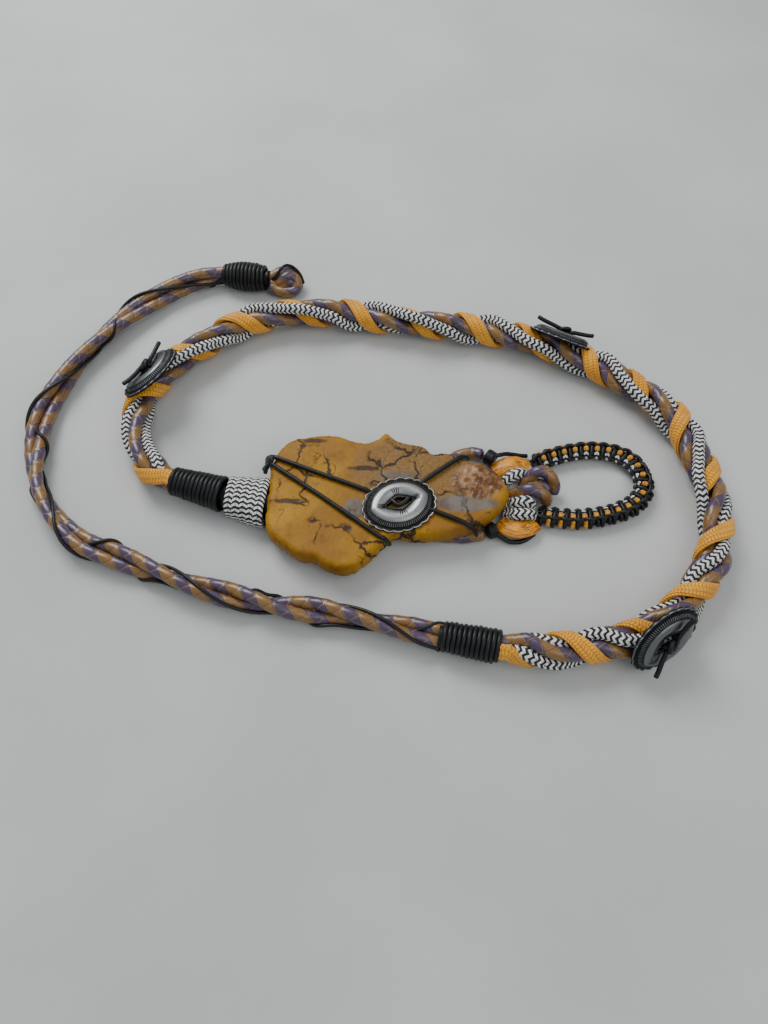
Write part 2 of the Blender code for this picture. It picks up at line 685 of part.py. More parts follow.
def make_bindings():
    """Cords that come out from behind the stone's right end and run into the loop."""
    low = 0.5 * LEATHER_DIA
    leather_runs = {
        "back_cord_upper": [(-50.2, 6.0, low), (-20.0, 12.0, low), (10.0, 18.0, low),
                            (28.0, 24.2, low), (35.0, 28.2, low), (40.5, 28.9, low + 0.8),
                            (45.2, 26.9, low + 2.2)],
        "back_cord_lower": [(-52.2, -6.0, low), (-20.0, -9.0, low), (10.0, -12.0, low),
                            (28.0, -13.6, low), (36.0, -13.8, low), (43.4, -12.6, low + 0.8)],
    }
    for name, points in leather_runs.items():
        tube(name, points, LEATHER_DIA, leather())
    end_runs = {
        "patterned_end_upper": ([(52.4, 11.6, 2.8), (56.6, 13.6, 5.8), (58.6, 14.8, 6.8),
                                 (60.4, 15.6, 6.2)], patterned()),
        "patterned_end_lower_a": ([(52.4, 1.8, 2.8), (55.8, 1.6, 4.6), (57.8, 0.6, 7.0),
                                   (60.6, 0.6, 8.5), (62.8, 0.3, 8.1)], patterned()),
        "patterned_end_lower_b": ([(52.6, -3.0, 2.8), (55.6, -3.8, 4.8), (58.0, -4.8, 6.6),
                                   (60.8, -5.0, 7.2), (63.0, -4.6, 6.6)], patterned()),
        "leather_end_upper": ([(61.6, 10.0, 2.9), (64.3, 12.5, 7.5), (67.0, 14.2, 10.2),
                               (70.5, 14.2, 10.8), (74.0, 12.0, 9.0), (75.5, 9.5, 5.5),
                               (74.8, 7.8, 2.9)], leather()),
        "leather_end_lower": ([(55.0, 6.6, 2.9), (58.6, 6.2, 5.8), (62.2, 5.8, 9.4),
                               (66.0, 5.0, 10.4), (69.5, 3.4, 9.0), (71.4, 3.2, 6.0),
                               (71.2, 3.0, 2.9)], leather()),
    }
    for name, (points, finish) in end_runs.items():
        tube(name, points, END_CORD_DIA, finish)
    flat_run("orange_end_upper", [(51.7, 19.5, 3.2), (55.5, 21.0, 5.0), (59.2, 21.6, 5.2),
                                  (62.4, 21.0, 4.2)], orange())
    flat_run("orange_end_lower", [(51.5, -8.8, 3.0), (55.5, -11.0, 4.2), (59.6, -11.0, 4.4),
                                  (63.2, -9.2, 3.8)], orange())
    black_runs = {
        "black_end_upper": [(52.6, 25.4, 7.8), (55.4, 26.8, 6.2), (59.0, 27.6, 4.4),
                            (63.0, 28.0, 2.6), (66.0, 28.6, 1.6)],
        "black_end_lower": [(50.4, -14.2, 4.0), (54.6, -15.8, 1.8), (60.2, -15.2, 1.5),
                            (65.6, -11.6, 1.5)],
    }
    for name, points in black_runs.items():
        tube(name, points, BLACK_CORD_DIA, black_cord())
    ribbed_wrap("binding_upper", ((46.4, 26.2), (49.8, 23.6)), (5.4, 5.4), (3.6, 3.6),
                WRAP_PITCH, black_cord())
    ribbed_wrap("binding_lower", ((44.7, -12.0), (48.3, -10.8)), (4.0, 4.0), (3.6, 3.6),
                WRAP_PITCH, black_cord())


def make_end_knot():
    """The knot of leather cord beyond the tail wrap, with a black cord over it."""
    half = 0.5 * LEATHER_DIA
    points = [(-57.6, 137.4, half + 2.8), (-53.5, 139.2, half + 4.0), (-48.6, 141.2, half + 3.4),
              (-42.6, 139.6, half + 0.8), (-40.4, 133.6, half + 0.4), (-43.4, 128.0, half + 0.4),
              (-49.6, 126.4, half + 0.4), (-54.5, 127.0, half + 0.4), (-59.0, 129.2, half + 0.4)]
    stations, route = smooth_path(points, 3.0)
    tube("end_knot", route, LEATHER_DIA, leather())
    core = [(-55.0, 133.6, half + 0.2), (-50.6, 133.7, half), (-46.6, 133.8, half)]
    tube("end_knot_core", core, LEATHER_DIA, leather())


def make_loop():
    """The knotted loop: a flat band with a knot's rise at every pitch."""
    stations, path = smooth_path(LOOP_ROUTE, 0.5 * LOOP_KNOT_PITCH)
    normals = left_normals(path)
    middle = 0.5 * LOOP_THICKNESS + LOOP_KNOT_RISE
    sides = 6
    rings = []
    for i, (place, normal) in enumerate(zip(path, normals)):
        rise = LOOP_KNOT_RISE if i % 2 else 0.0
        ring = []
        for k in range(sides):
            angle = 2 * math.pi * k / sides
            y = (0.5 * LOOP_WIDTH + rise) * math.cos(angle)
            z = (0.5 * LOOP_THICKNESS + rise) * 1.1 * math.sin(angle)
            ring.append((place[0] + normal[0] * y, place[1] + normal[1] * y, middle + z))
        rings.append(ring)
    loft("knotted_loop", rings, black_cord())


clear_scene()
belt = bpy.data.collections.new("macrame_belt")
bpy.context.scene.collection.children.link(belt)
stand = bpy.data.objects.new("table_place", None)
stand.location = (-MIDDLE_X * MM, -MIDDLE_Y * MM, 0.0)
belt.objects.link(stand)

rope_stations, rope_path, rope_lay, rope_middle_height = make_rope()
tail_middle_height = make_tail()
make_wraps(rope_middle_height, tail_middle_height)
make_band()
make_stone()
make_stone_concho()
make_rope_conchos(rope_stations, rope_path, rope_lay, rope_middle_height)
make_lacing()
make_bindings()
make_end_knot()
make_loop()
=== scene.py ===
"""Macrame belt on a pale table: fine cords, wraps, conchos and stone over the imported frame.

Lengths are in millimetres until the meshes are made. X runs to the right and Y away from the
viewer, measured on the table from the middle of the view; MIDDLE takes them to the frame.
"""
import math

import bmesh
import bpy
import numpy as np
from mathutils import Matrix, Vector


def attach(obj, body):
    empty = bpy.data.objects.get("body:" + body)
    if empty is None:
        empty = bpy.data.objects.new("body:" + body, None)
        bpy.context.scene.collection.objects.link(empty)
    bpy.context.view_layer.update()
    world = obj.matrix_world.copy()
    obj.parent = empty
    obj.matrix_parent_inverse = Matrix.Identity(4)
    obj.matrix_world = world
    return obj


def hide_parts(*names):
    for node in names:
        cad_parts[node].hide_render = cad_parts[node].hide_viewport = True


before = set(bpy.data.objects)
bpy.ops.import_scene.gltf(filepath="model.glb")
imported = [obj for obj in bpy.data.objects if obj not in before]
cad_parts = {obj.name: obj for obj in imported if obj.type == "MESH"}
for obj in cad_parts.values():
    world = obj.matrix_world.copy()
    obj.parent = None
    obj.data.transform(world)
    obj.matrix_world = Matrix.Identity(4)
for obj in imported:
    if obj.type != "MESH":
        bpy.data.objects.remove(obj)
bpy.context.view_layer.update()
rng = np.random.default_rng(7)

MM = 0.001
MIDDLE = np.array([-7.55, 34.28, 0.0])

LEATHER_DIA = 5.4
PATTERNED_DIA = 5.2
ORANGE_WIDTH = 6.4
ORANGE_THICKNESS = 2.6
BLACK_CORD_DIA = 2.0
LACE_DIA = 1.5
END_CORD_DIA = 5.4
STRAND_GAP = 0.08
STRAND_STEP = 1.5
# Spacing of the rings of each kind of cord
LEATHER_STEP = 0.45
PATTERNED_STEP = 0.7
ORANGE_STEP = 0.6
LACE_STEP = 0.75
# Share of their spread that the strands keep where they enter a wrap
ROPE_SQUEEZE = 0.60
TAIL_SQUEEZE = 0.82
STONE_UNDERSIDE = 5.7
STONE_TOP = 14.2

CAMERA_PLACE = (0.0, -165.74, 299.0)
CAMERA_PITCH = 29.0
CAMERA_LENS = 27.07

ROPE_ROUTE = [
    (-94.9, 11.5), (-99.4, 13.7), (-104.4, 19.6), (-109.4, 27.0), (-112.8, 35.0), (-114.0, 46.0),
    (-110.8, 61.6),
    (-98.9, 79.3), (-84.3, 91.9), (-67.1, 103.6), (-48.0, 109.0), (-27.2, 109.6), (-5.0, 106.5),
    (23.9, 101.7), (47.7, 98.2), (67.1, 93.2), (87.5, 84.0), (109.2, 70.0), (123.0, 58.0),
    (132.5, 47.0), (138.5, 31.5), (141.6, 15.0), (142.8, -3.0), (139.5, -20.5), (132.0, -35.0),
    (121.0, -47.5), (104.5, -58.8), (85.5, -64.8), (66.0, -67.1), (48.0, -65.7)]
TAIL_ROUTE = [
    (21.0, -60.0), (6.4, -56.4), (-9.7, -53.0), (-26.0, -49.6), (-42.4, -47.4), (-59.1, -43.8),
    (-76.1, -39.0), (-93.4, -32.7), (-111.4, -25.6), (-127.3, -18.8), (-138.0, -10.4),
    (-147.0, 0.0), (-154.0, 11.7), (-157.8, 25.0), (-159.2, 39.0), (-158.2, 52.0),
    (-154.4, 65.5), (-148.4, 81.0), (-140.5, 95.5), (-130.0, 109.0), (-116.0, 122.3),
    (-102.5, 131.8), (-93.5, 136.0), (-85.4, 138.0)]
LOOP_ROUTE = [
    (67.5, 22.6), (73.5, 26.0), (83.0, 29.0), (93.5, 30.6), (104.5, 29.2), (112.6, 24.6),
    (116.4, 16.6), (116.2, 8.8), (111.6, 2.0), (104.5, -2.2), (95.0, -5.0), (85.0, -6.4),
    (75.0, -5.6), (66.5, -4.4)]

CORE_TOP_STATIONS = [
    4.7, 26.0, 68.0, 104.0, 133.0, 168.0, 196.0, 224.0, 250.0, 272.0, 304.0, 331.0, 362.0,
    388.0, 413.0, 442.0, 476.0, 503.0, 532.0]
ORANGE_TURNS = [
    (0.0, 75.0), (7.0, 45.0), (13.0, -20.0), (19.0, -95.0), (33.0, -110.0), (39.0, -60.0), (45.0, 0.0),
    (50.0, 60.0), (56.0, 150.0), (82.0, 450.0), (113.8, 810.0), (143.0, 1170.0), (174.3, 1530.0),
    (202.2, 1890.0),
    (231.8, 2250.0), (260.0, 2610.0), (290.4, 2970.0), (317.0, 3330.0), (343.1, 3690.0),
    (374.0, 4050.0), (403.5, 4410.0), (434.0, 4770.0), (462.0, 5130.0), (489.0, 5490.0),
    (521.0, 5850.0)]
# Where the orange strand dives under a patterned one, and how far to each side
ORANGE_DIVES = [82.0, 143.0, 202.2, 260.0, 317.0, 374.0, 462.0]
DIVE_REACH = 12.0
# Degrees round the rope over which the patterned strand's lift and the orange strand's dive fade
LIFT_FADE = (55.0, 115.0)
SINK_FADE = (22.0, 62.0)
TAIL_PAIR_TURNS = [
    (0.0, -20.0), (7.0, 0.0), (36.0, 90.0), (56.0, 180.0), (73.0, 270.0), (91.0, 360.0),
    (118.0, 450.0), (142.0, 540.0), (190.0, 630.0), (222.0, 720.0), (263.0, 810.0),
    (305.0, 900.0), (350.0, 990.0), (400.0, 1090.0)]
TAIL_LACE_TURNS = [
    (0.0, -10.0), (22.0, 90.0), (102.0, 450.0), (172.0, 810.0), (245.0, 1170.0),
    (322.0, 1530.0), (400.0, 1880.0)]
BACK_LACE_DIVES = [6.0, 79.0, 150.0, 222.0, 295.0, 366.0]
# Distance from a dive, turn of the lace there
BACK_LACE_TURN = [
    (-13.0, 205.0), (-7.0, 165.0), (-2.0, 118.0), (3.0, 80.0), (8.0, -60.0), (20.0, -60.0),
    (33.0, -14.0), (41.0, -14.0), (52.0, -80.0)]

STONE_OUTLINE = [
    (-50.2, 16.0), (-49.8, 11.0), (-50.2, 0.0), (-50.2, -12.0), (-47.6, -18.5), (-41.5, -23.5),
    (-35.0, -28.0), (-29.0, -29.0), (-24.0, -32.0), (-17.5, -34.5), (-12.0, -33.0),
    (-6.5, -28.5), (-1.5, -23.0), (2.0, -20.0), (5.0, -17.5), (13.0, -18.8), (23.5, -18.0),
    (32.0, -16.0), (39.0, -13.5), (45.0, -9.5), (50.5, -4.0), (54.0, 2.0), (52.5, 8.0),
    (48.5, 13.5), (43.0, 17.0), (37.0, 18.8), (32.0, 21.5), (27.0, 23.0), (21.5, 22.5),
    (17.5, 26.5), (10.5, 28.2), (6.0, 29.5), (1.0, 33.8), (-3.0, 30.5), (-10.0, 28.6),
    (-22.5, 32.5), (-36.0, 31.3), (-42.5, 29.0), (-47.5, 22.8), (-48.6, 18.6)]

LEFT_WRAP = ((-93.2, 10.8), (-68.6, 3.6))
BOTTOM_WRAP = ((46.2, -65.6), (21.8, -60.2))
TAIL_WRAP = ((-83.8, 138.3), (-60.0, 134.6))

# Ends, heights of both ends, radii along it, cord, turns, lean of the turns, core
WRAPS = {
    "left_wrap": (LEFT_WRAP, (9.2, 8.8), (6.4, 6.9, 7.6, 8.3), 2.0, 12, 0.5, 9.0),
    "bottom_wrap": (BOTTOM_WRAP, (8.6, 7.4), (7.2, 7.0, 6.5, 6.2), 1.95, 12, 0.4, 8.6),
    "tail_wrap": (TAIL_WRAP, (7.0, 7.6), (5.4, 6.9, 7.5, 7.2, 6.2), 2.0, 11, 0.4, 8.0)}
BINDINGS = {
    "binding_upper": (((46.2, 26.4), (50.0, 23.5)), (5.4, 5.4)),
    "binding_lower": (((44.4, -12.1), (48.5, -10.7)), (4.0, 4.0))}
BAND_START = (-69.6, 3.9, 8.0)
BAND_END = (-49.4, 0.0, 7.0)
BAND_TURNS = 5
BAND_THICKNESS = 2.6
SILK_WIDTH = 7.4
SILK_THICKNESS = 3.4
LOOP_KNOTS = 23
LOOP_LEVEL = 3.3
LOOP_CORE_HALF_WIDTH = 2.7
LOOP_CORE_HALF_HEIGHT = 1.9
STONE_CONCHO_PLACE = (6.5, -4.8)
STONE_CONCHO_HEADING = 18.0


# Paths and frames

def run_lengths(points):
    """Distance along a path at each of its points."""
    return np.concatenate([[0.0], np.cumsum(np.linalg.norm(np.diff(points, axis=0), axis=1))])


def smooth_path(points, step):
    """Evenly spaced points, about step apart, on a smooth curve through the given points."""
    pts = np.array(points, dtype=float)
    padded = np.vstack([[2 * pts[0] - pts[1]], pts, [2 * pts[-1] - pts[-2]]])
    fine = []
    for i in range(1, len(padded) - 2):
        p0, p1, p2, p3 = padded[i - 1:i + 3]
        for t in np.linspace(0.0, 1.0, 24, endpoint=False):
            fine.append(0.5 * (2 * p1 + (p2 - p0) * t + (2 * p0 - 5 * p1 + 4 * p2 - p3) * t * t
                               + (3 * p1 - p0 - 3 * p2 + p3) * t ** 3))
    fine.append(padded[-2])
    fine = np.array(fine)
    length = run_lengths(fine)
    count = max(2, round(length[-1] / step) + 1)
    stations = np.linspace(0.0, length[-1], count)
    path = np.stack([np.interp(stations, length, fine[:, k]) for k in range(fine.shape[1])], axis=1)
    return stations, path


def unit(rows):
    return rows / (np.linalg.norm(rows, axis=-1, keepdims=True) + 1e-12)


def left_normals(path):
    along = unit(np.gradient(path, axis=0))
    return np.stack([-along[:, 1], along[:, 0]], axis=1)


def turn_angle(stations, turns):
    table = np.array(turns)
    return np.radians(np.interp(stations, table[:, 0], table[:, 1]))


def soften(values, passes):
    values = values.copy()
    for _ in range(passes):
        values[1:-1] += 0.5 * (0.5 * (values[:-2] + values[2:]) - values[1:-1])
    return values


def smoothstep(value, low, high):
    t = np.clip((value - low) / (high - low), 0.0, 1.0)
    return t * t * (3 - 2 * t)


def axis_frame(start, end):
    """Length of a straight axis, the direction along it, and two across it, level and up."""
    length = np.linalg.norm(end - start)
    along = (end - start) / length
    across = unit(np.cross([0.0, 0.0, 1.0], along))
    return length, along, across, np.cross(along, across)


def swung(along, across, degrees):
    """Two directions of a plate, turned in its plane."""
    turn = math.radians(degrees)
    return (along * math.cos(turn) + across * math.sin(turn),
            across * math.cos(turn) - along * math.sin(turn))


def carried_frame(centres, first):
    """Two directions across a path, carried along it without twist."""
    along = unit(np.gradient(centres, axis=0))
    across = np.zeros_like(centres)
    now = np.array(first, dtype=float)
    for i, way in enumerate(along):
        now = now - way * (now @ way)
        now = now / (np.linalg.norm(now) + 1e-12)
        across[i] = now
    return across, np.cross(along, across)


# Strands laid round a straightened rope

def strand(angle, radius, half_thickness, half_width=0.0):
    place = np.stack([radius * np.cos(angle), radius * np.sin(angle)], axis=1)
    return {"place": place, "half_thickness": half_thickness, "half_width": half_width}


def strand_lines(stations, item):
    middle = np.column_stack([stations, item["place"]])
    if item["half_width"] <= 0:
        return [middle]
    along = np.gradient(middle, axis=0)
    outward = np.column_stack([np.zeros(len(stations)), item["place"]])
    side = unit(np.cross(along, outward))
    reach = side * (item["half_width"] - item["half_thickness"])
    return [middle - reach, middle, middle + reach]


def part_lines(line_a, line_b, needed, window):
    """Moves that push two lines apart where they are nearer than needed."""
    count = len(line_a)
    rows = np.arange(count)
    gaps = []
    for shift in range(-window, window + 1):
        other = np.clip(rows + shift, 0, count - 1)
        gaps.append(np.linalg.norm(line_a - line_b[other], axis=1))
    gaps = np.array(gaps)
    nearest = np.argmin(gaps, axis=0)
    other = np.clip(rows + nearest - window, 0, count - 1)
    apart = line_a - line_b[other]
    direction = unit(apart[:, 1:])
    push = np.clip(needed - gaps[nearest, rows], 0.0, None)[:, None] * direction * 0.5
    answer = np.zeros_like(push)
    touched = push.any(axis=1)
    answer[other[touched]] = -push[touched]
    return push, answer


def settle(stations, strands, gap, tighten_passes=120, clear_passes=60):
    """Draw the strands tight round each other, then clear every touch."""
    window = int(math.ceil(9.0 / (stations[1] - stations[0])))
    for turn in range(tighten_passes + clear_passes):
        tension = 0.30 * (1 - turn / tighten_passes) if turn < tighten_passes else 0.0
        lines = [strand_lines(stations, item) for item in strands]
        moves = [np.zeros_like(item["place"]) for item in strands]
        for a in range(len(strands)):
            for b in range(a + 1, len(strands)):
                needed = strands[a]["half_thickness"] + strands[b]["half_thickness"] + gap
                for line_a in lines[a]:
                    for line_b in lines[b]:
                        move_a, move_b = part_lines(line_a, line_b, needed, window)
                        moves[a] = np.where(np.abs(move_a) > np.abs(moves[a]), move_a, moves[a])
                        moves[b] = np.where(np.abs(move_b) > np.abs(moves[b]), move_b, moves[b])
        for item, move in zip(strands, moves):
            place = item["place"] + soften(move, 1)
            place[1:-1] += tension * (0.5 * (place[:-2] + place[2:]) - place[1:-1])
            item["place"] = place
    return strands


def rope_strands():
    """The rope's four core strands and its orange strand, settled round each other."""
    stations, path = smooth_path(ROPE_ROUTE, STRAND_STEP)
    count = len(CORE_TOP_STATIONS)
    core_table = [(s, 90.0 * k) for k, s in enumerate(CORE_TOP_STATIONS)]
    core_table.insert(0, (CORE_TOP_STATIONS[0] - 30.0, -90.0))
    core_table.append((CORE_TOP_STATIONS[-1] + 30.0, 90.0 * count))
    core = soften(turn_angle(stations, core_table), 20) + math.pi / 2
    orange = soften(turn_angle(stations, ORANGE_TURNS), 4)
    core_radius = (0.5 * (LEATHER_DIA + PATTERNED_DIA) + STRAND_GAP) / math.sqrt(2)
    over_radius = core_radius + 0.5 * LEATHER_DIA + 0.5 * ORANGE_THICKNESS + STRAND_GAP
    names = ["patterned_strand_a", "leather_strand_a", "patterned_strand_b", "leather_strand_b"]
    diving = np.zeros(len(stations))
    for dive in ORANGE_DIVES:
        diving = np.maximum(diving, 1 - smoothstep(np.abs(stations - dive), 0.6 * DIVE_REACH,
                                                   1.3 * DIVE_REACH))
    orange_radius = np.full(len(stations), over_radius)
    strands = []
    for k, name in enumerate(names):
        angle = core - 0.5 * math.pi * k
        radius = np.full(len(stations), core_radius)
        if name.startswith("patterned"):
            apart = np.degrees(np.abs((orange - angle + math.pi) % (2 * math.pi) - math.pi))
            on_top = np.sin(angle) > 0.3
            lift = diving * on_top * (1 - smoothstep(apart, *LIFT_FADE))
            sink = diving * on_top * (1 - smoothstep(apart, *SINK_FADE))
            radius = radius + (ORANGE_THICKNESS + STRAND_GAP) * 1.15 * lift
            orange_radius -= (over_radius - 0.62 * core_radius) * sink
            strands.append(strand(angle, soften(radius, 8), 0.5 * PATTERNED_DIA))
        else:
            strands.append(strand(angle, radius, 0.5 * LEATHER_DIA))
    strands.append(strand(orange, soften(orange_radius, 2), 0.5 * ORANGE_THICKNESS,
                          0.5 * ORANGE_WIDTH))
    names.append("orange_strand")
    return stations, path, dict(zip(names, settle(stations, strands, STRAND_GAP)))


def round_pair(angle, pair, reach):
    """Distance from the middle of two touching cords to a lace laid tight on them."""
    half = 0.5 * (LEATHER_DIA + STRAND_GAP)
    c = np.abs(np.cos(angle - pair))
    d = np.abs(np.sin(angle - pair))
    disc = half * c + np.sqrt(np.clip(reach ** 2 - (half * d) ** 2, 0.0, None))
    taut = reach / np.maximum(d, 0.3)
    return np.where(taut * c <= half, np.minimum(taut, disc + 0.7), disc)


def tail_strands():
    """The tail's two leather cords and the two laces that cross round them."""
    stations, path = smooth_path(TAIL_ROUTE, STRAND_STEP)
    pair = soften(turn_angle(stations, TAIL_PAIR_TURNS), 16)
    lace = soften(turn_angle(stations, TAIL_LACE_TURNS), 8)
    table = []
    for k, dive in enumerate(BACK_LACE_DIVES):
        table += [(dive + past, turn - 360.0 * k) for past, turn in BACK_LACE_TURN]
    back = soften(turn_angle(stations, table), 3)
    reach = 0.5 * (LEATHER_DIA + LACE_DIA) + STRAND_GAP
    sunk = np.zeros(len(stations))
    for dive in BACK_LACE_DIVES:
        sunk = np.maximum(sunk, 1 - smoothstep(np.abs(stations - dive - 5.0), 2.0, 8.0))
    even = np.full(len(stations), 0.5 * (LEATHER_DIA + STRAND_GAP))
    lace_radius = soften(round_pair(lace, pair, reach), 4)
    back_radius = soften(round_pair(back, pair, reach) * (1 - 0.85 * sunk), 2)
    return stations, path, {
        "tail_leather_a": strand(pair, even, 0.5 * LEATHER_DIA),
        "tail_leather_b": strand(pair + math.pi, even, 0.5 * LEATHER_DIA),
        "tail_lace": strand(lace, lace_radius, 0.5 * LACE_DIA),
        "tail_back_lace": strand(back, back_radius, 0.5 * LACE_DIA)}


def lowest_reach(strands):
    return max(float(-item["place"][:, 1].min()) + item["half_thickness"] for item in strands.values())


def on_table(path, place, height):
    normals = left_normals(path)
    flat = path + normals * place[:, :1]
    return np.column_stack([flat, place[:, 1] + height])


def tucked(stations, path, strands, squeeze, reach=9.0, inside=4.0):
    """Draw the strands together at both ends and run them on into the wraps."""
    step = stations[1] - stations[0]
    more = int(round(inside / step))
    near = np.minimum(stations, stations[-1] - stations)
    share = squeeze + (1 - squeeze) * smoothstep(near, 0.0, reach)
    ahead = np.arange(1, more + 1)[:, None]
    path = np.vstack([path[0] - (path[1] - path[0]) * ahead[::-1], path,
                      path[-1] + (path[-1] - path[-2]) * ahead])
    drawn = {}
    for name, item in strands.items():
        place = item["place"] * share[:, None]
        place = np.vstack([np.repeat(place[:1], more, axis=0), place, np.repeat(place[-1:], more, axis=0)])
        drawn[name] = dict(item, place=place)
    return path, drawn


def finer(rows, finest):
    """Rows of values along a strand, taken at a finer spacing, smoothly."""
    count = int(round((len(rows) - 1) * STRAND_STEP / finest)) + 1
    old = np.arange(len(rows)) * STRAND_STEP
    new = np.linspace(0.0, old[-1], count)
    out = np.stack([np.interp(new, old, rows[:, k]) for k in range(rows.shape[1])], axis=1)
    return soften(out, max(1, int(STRAND_STEP / finest)))


# Meshes

def grid_mesh(name, points, finish, uv=None, closed=False):
    """A mesh over a grid of points, closed round its rows, with a map of its own coordinates."""
    rows, cols = points.shape[:2]
    verts = ((points.reshape(-1, 3) - MIDDLE) * MM)
    i = np.arange(rows if closed else rows - 1)[:, None]
    j = np.arange(cols)[None, :]
    i2 = (i + 1) % rows
    j2 = (j + 1) % cols
    quads = np.stack([i * cols + j, i * cols + j2, i2 * cols + j2, i2 * cols + j], axis=-1)
    quads = quads.reshape(-1, 4)
    faces = [tuple(q) for q in quads.tolist()]
    if not closed:
        faces.append(tuple(range(cols - 1, -1, -1)))
        faces.append(tuple(range((rows - 1) * cols, rows * cols)))
    mesh = bpy.data.meshes.new(name)
    mesh.from_pydata(verts.tolist(), [], faces)
    if uv is not None:
        u, v = uv
        corners = (v[i], v[i + 1], u[j], u[j + 1])
        low, high, left, right = [np.broadcast_to(row, (len(i), cols)) for row in corners]
        data = np.zeros((len(mesh.loops), 2), dtype=np.float32)
        data[:quads.size, 0] = np.stack([left, right, right, left], axis=-1).reshape(-1)
        data[:quads.size, 1] = np.stack([low, low, high, high], axis=-1).reshape(-1)
        mesh.uv_layers.new(name="cord").data.foreach_set("uv", data.reshape(-1))
    mesh.materials.append(finish)
    mesh.validate()
    bm = bmesh.new()
    bm.from_mesh(mesh)
    bmesh.ops.recalc_face_normals(bm, faces=bm.faces)
    bm.to_mesh(mesh)
    bm.free()
    mesh.shade_smooth()
    mesh.set_sharp_from_angle(angle=math.radians(65))
    thing = bpy.data.objects.new(name, mesh)
    bpy.context.scene.collection.objects.link(thing)
    return thing


def cord(name, centres, dia, finish, sides=20, relief=None, first=(0.0, 0.0, 1.0), rounded=True):
    """A round cord through closely spaced centres; relief(u, v) adds height, u in turns, v in mm."""
    length = run_lengths(centres)
    reach = np.full(len(centres), 0.5 * dia)
    if rounded:
        near = np.minimum(length, length[-1] - length)
        ease = np.clip(near / (0.25 * dia), 0.0, 1.0)
        reach = reach * np.sqrt(np.clip(1 - 0.75 * (1 - ease) ** 2, 0.05, 1.0))
    reach = np.repeat(reach[:, None], sides, axis=1)
    u = np.arange(sides + 1) / sides
    if relief is not None:
        reach = reach + relief(u[None, :-1], length[:, None])
    across, up = carried_frame(centres, first)
    turn = 2 * math.pi * u[:-1]
    ring = (across[:, None, :] * np.cos(turn)[None, :, None]
            + up[:, None, :] * np.sin(turn)[None, :, None])
    return grid_mesh(name, centres[:, None, :] + ring * reach[:, :, None], finish, uv=(u, length))


def flat_cord(name, centres, outward, width, thickness, finish, sides=28, columns=4):
    """A flat woven cord whose broad faces lie against what it is wound round."""
    along = unit(np.gradient(centres, axis=0))
    side = unit(np.cross(along, outward))
    up = np.cross(side, along)
    up = np.where((np.sum(up * outward, axis=1) < 0)[:, None], -up, up)
    u = np.arange(sides) / sides
    turn = 2 * math.pi * u
    y = 0.5 * width * rounder(np.cos(turn), 0.85)
    z = 0.5 * thickness * rounder(np.sin(turn), 0.7)
    ridge = 1 + 0.09 * np.cos(2 * math.pi * 2 * columns * u) * (columns > 0)
    points = (centres[:, None, :] + side[:, None, :] * (y * ridge)[None, :, None]
              + up[:, None, :] * (z * ridge)[None, :, None])
    return grid_mesh(name, points, finish, uv=(np.arange(sides + 1) / sides, run_lengths(centres)))


def rounder(value, power):
    """The value raised to a power, with its sign kept."""
    return np.sign(value) * np.abs(value) ** power


def dress(thing, *nodes):
    """The piece rides on the belt and stands for its solids."""
    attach(thing, "root")
    if nodes:
        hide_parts(*nodes)


def lay(name, points, dia, finish, *nodes, step=0.5, **shape):
    """A dressed cord on a smooth curve through a few chosen places."""
    dress(cord(name, smooth_path(points, step)[1], dia, finish, **shape), *nodes)


# Node materials

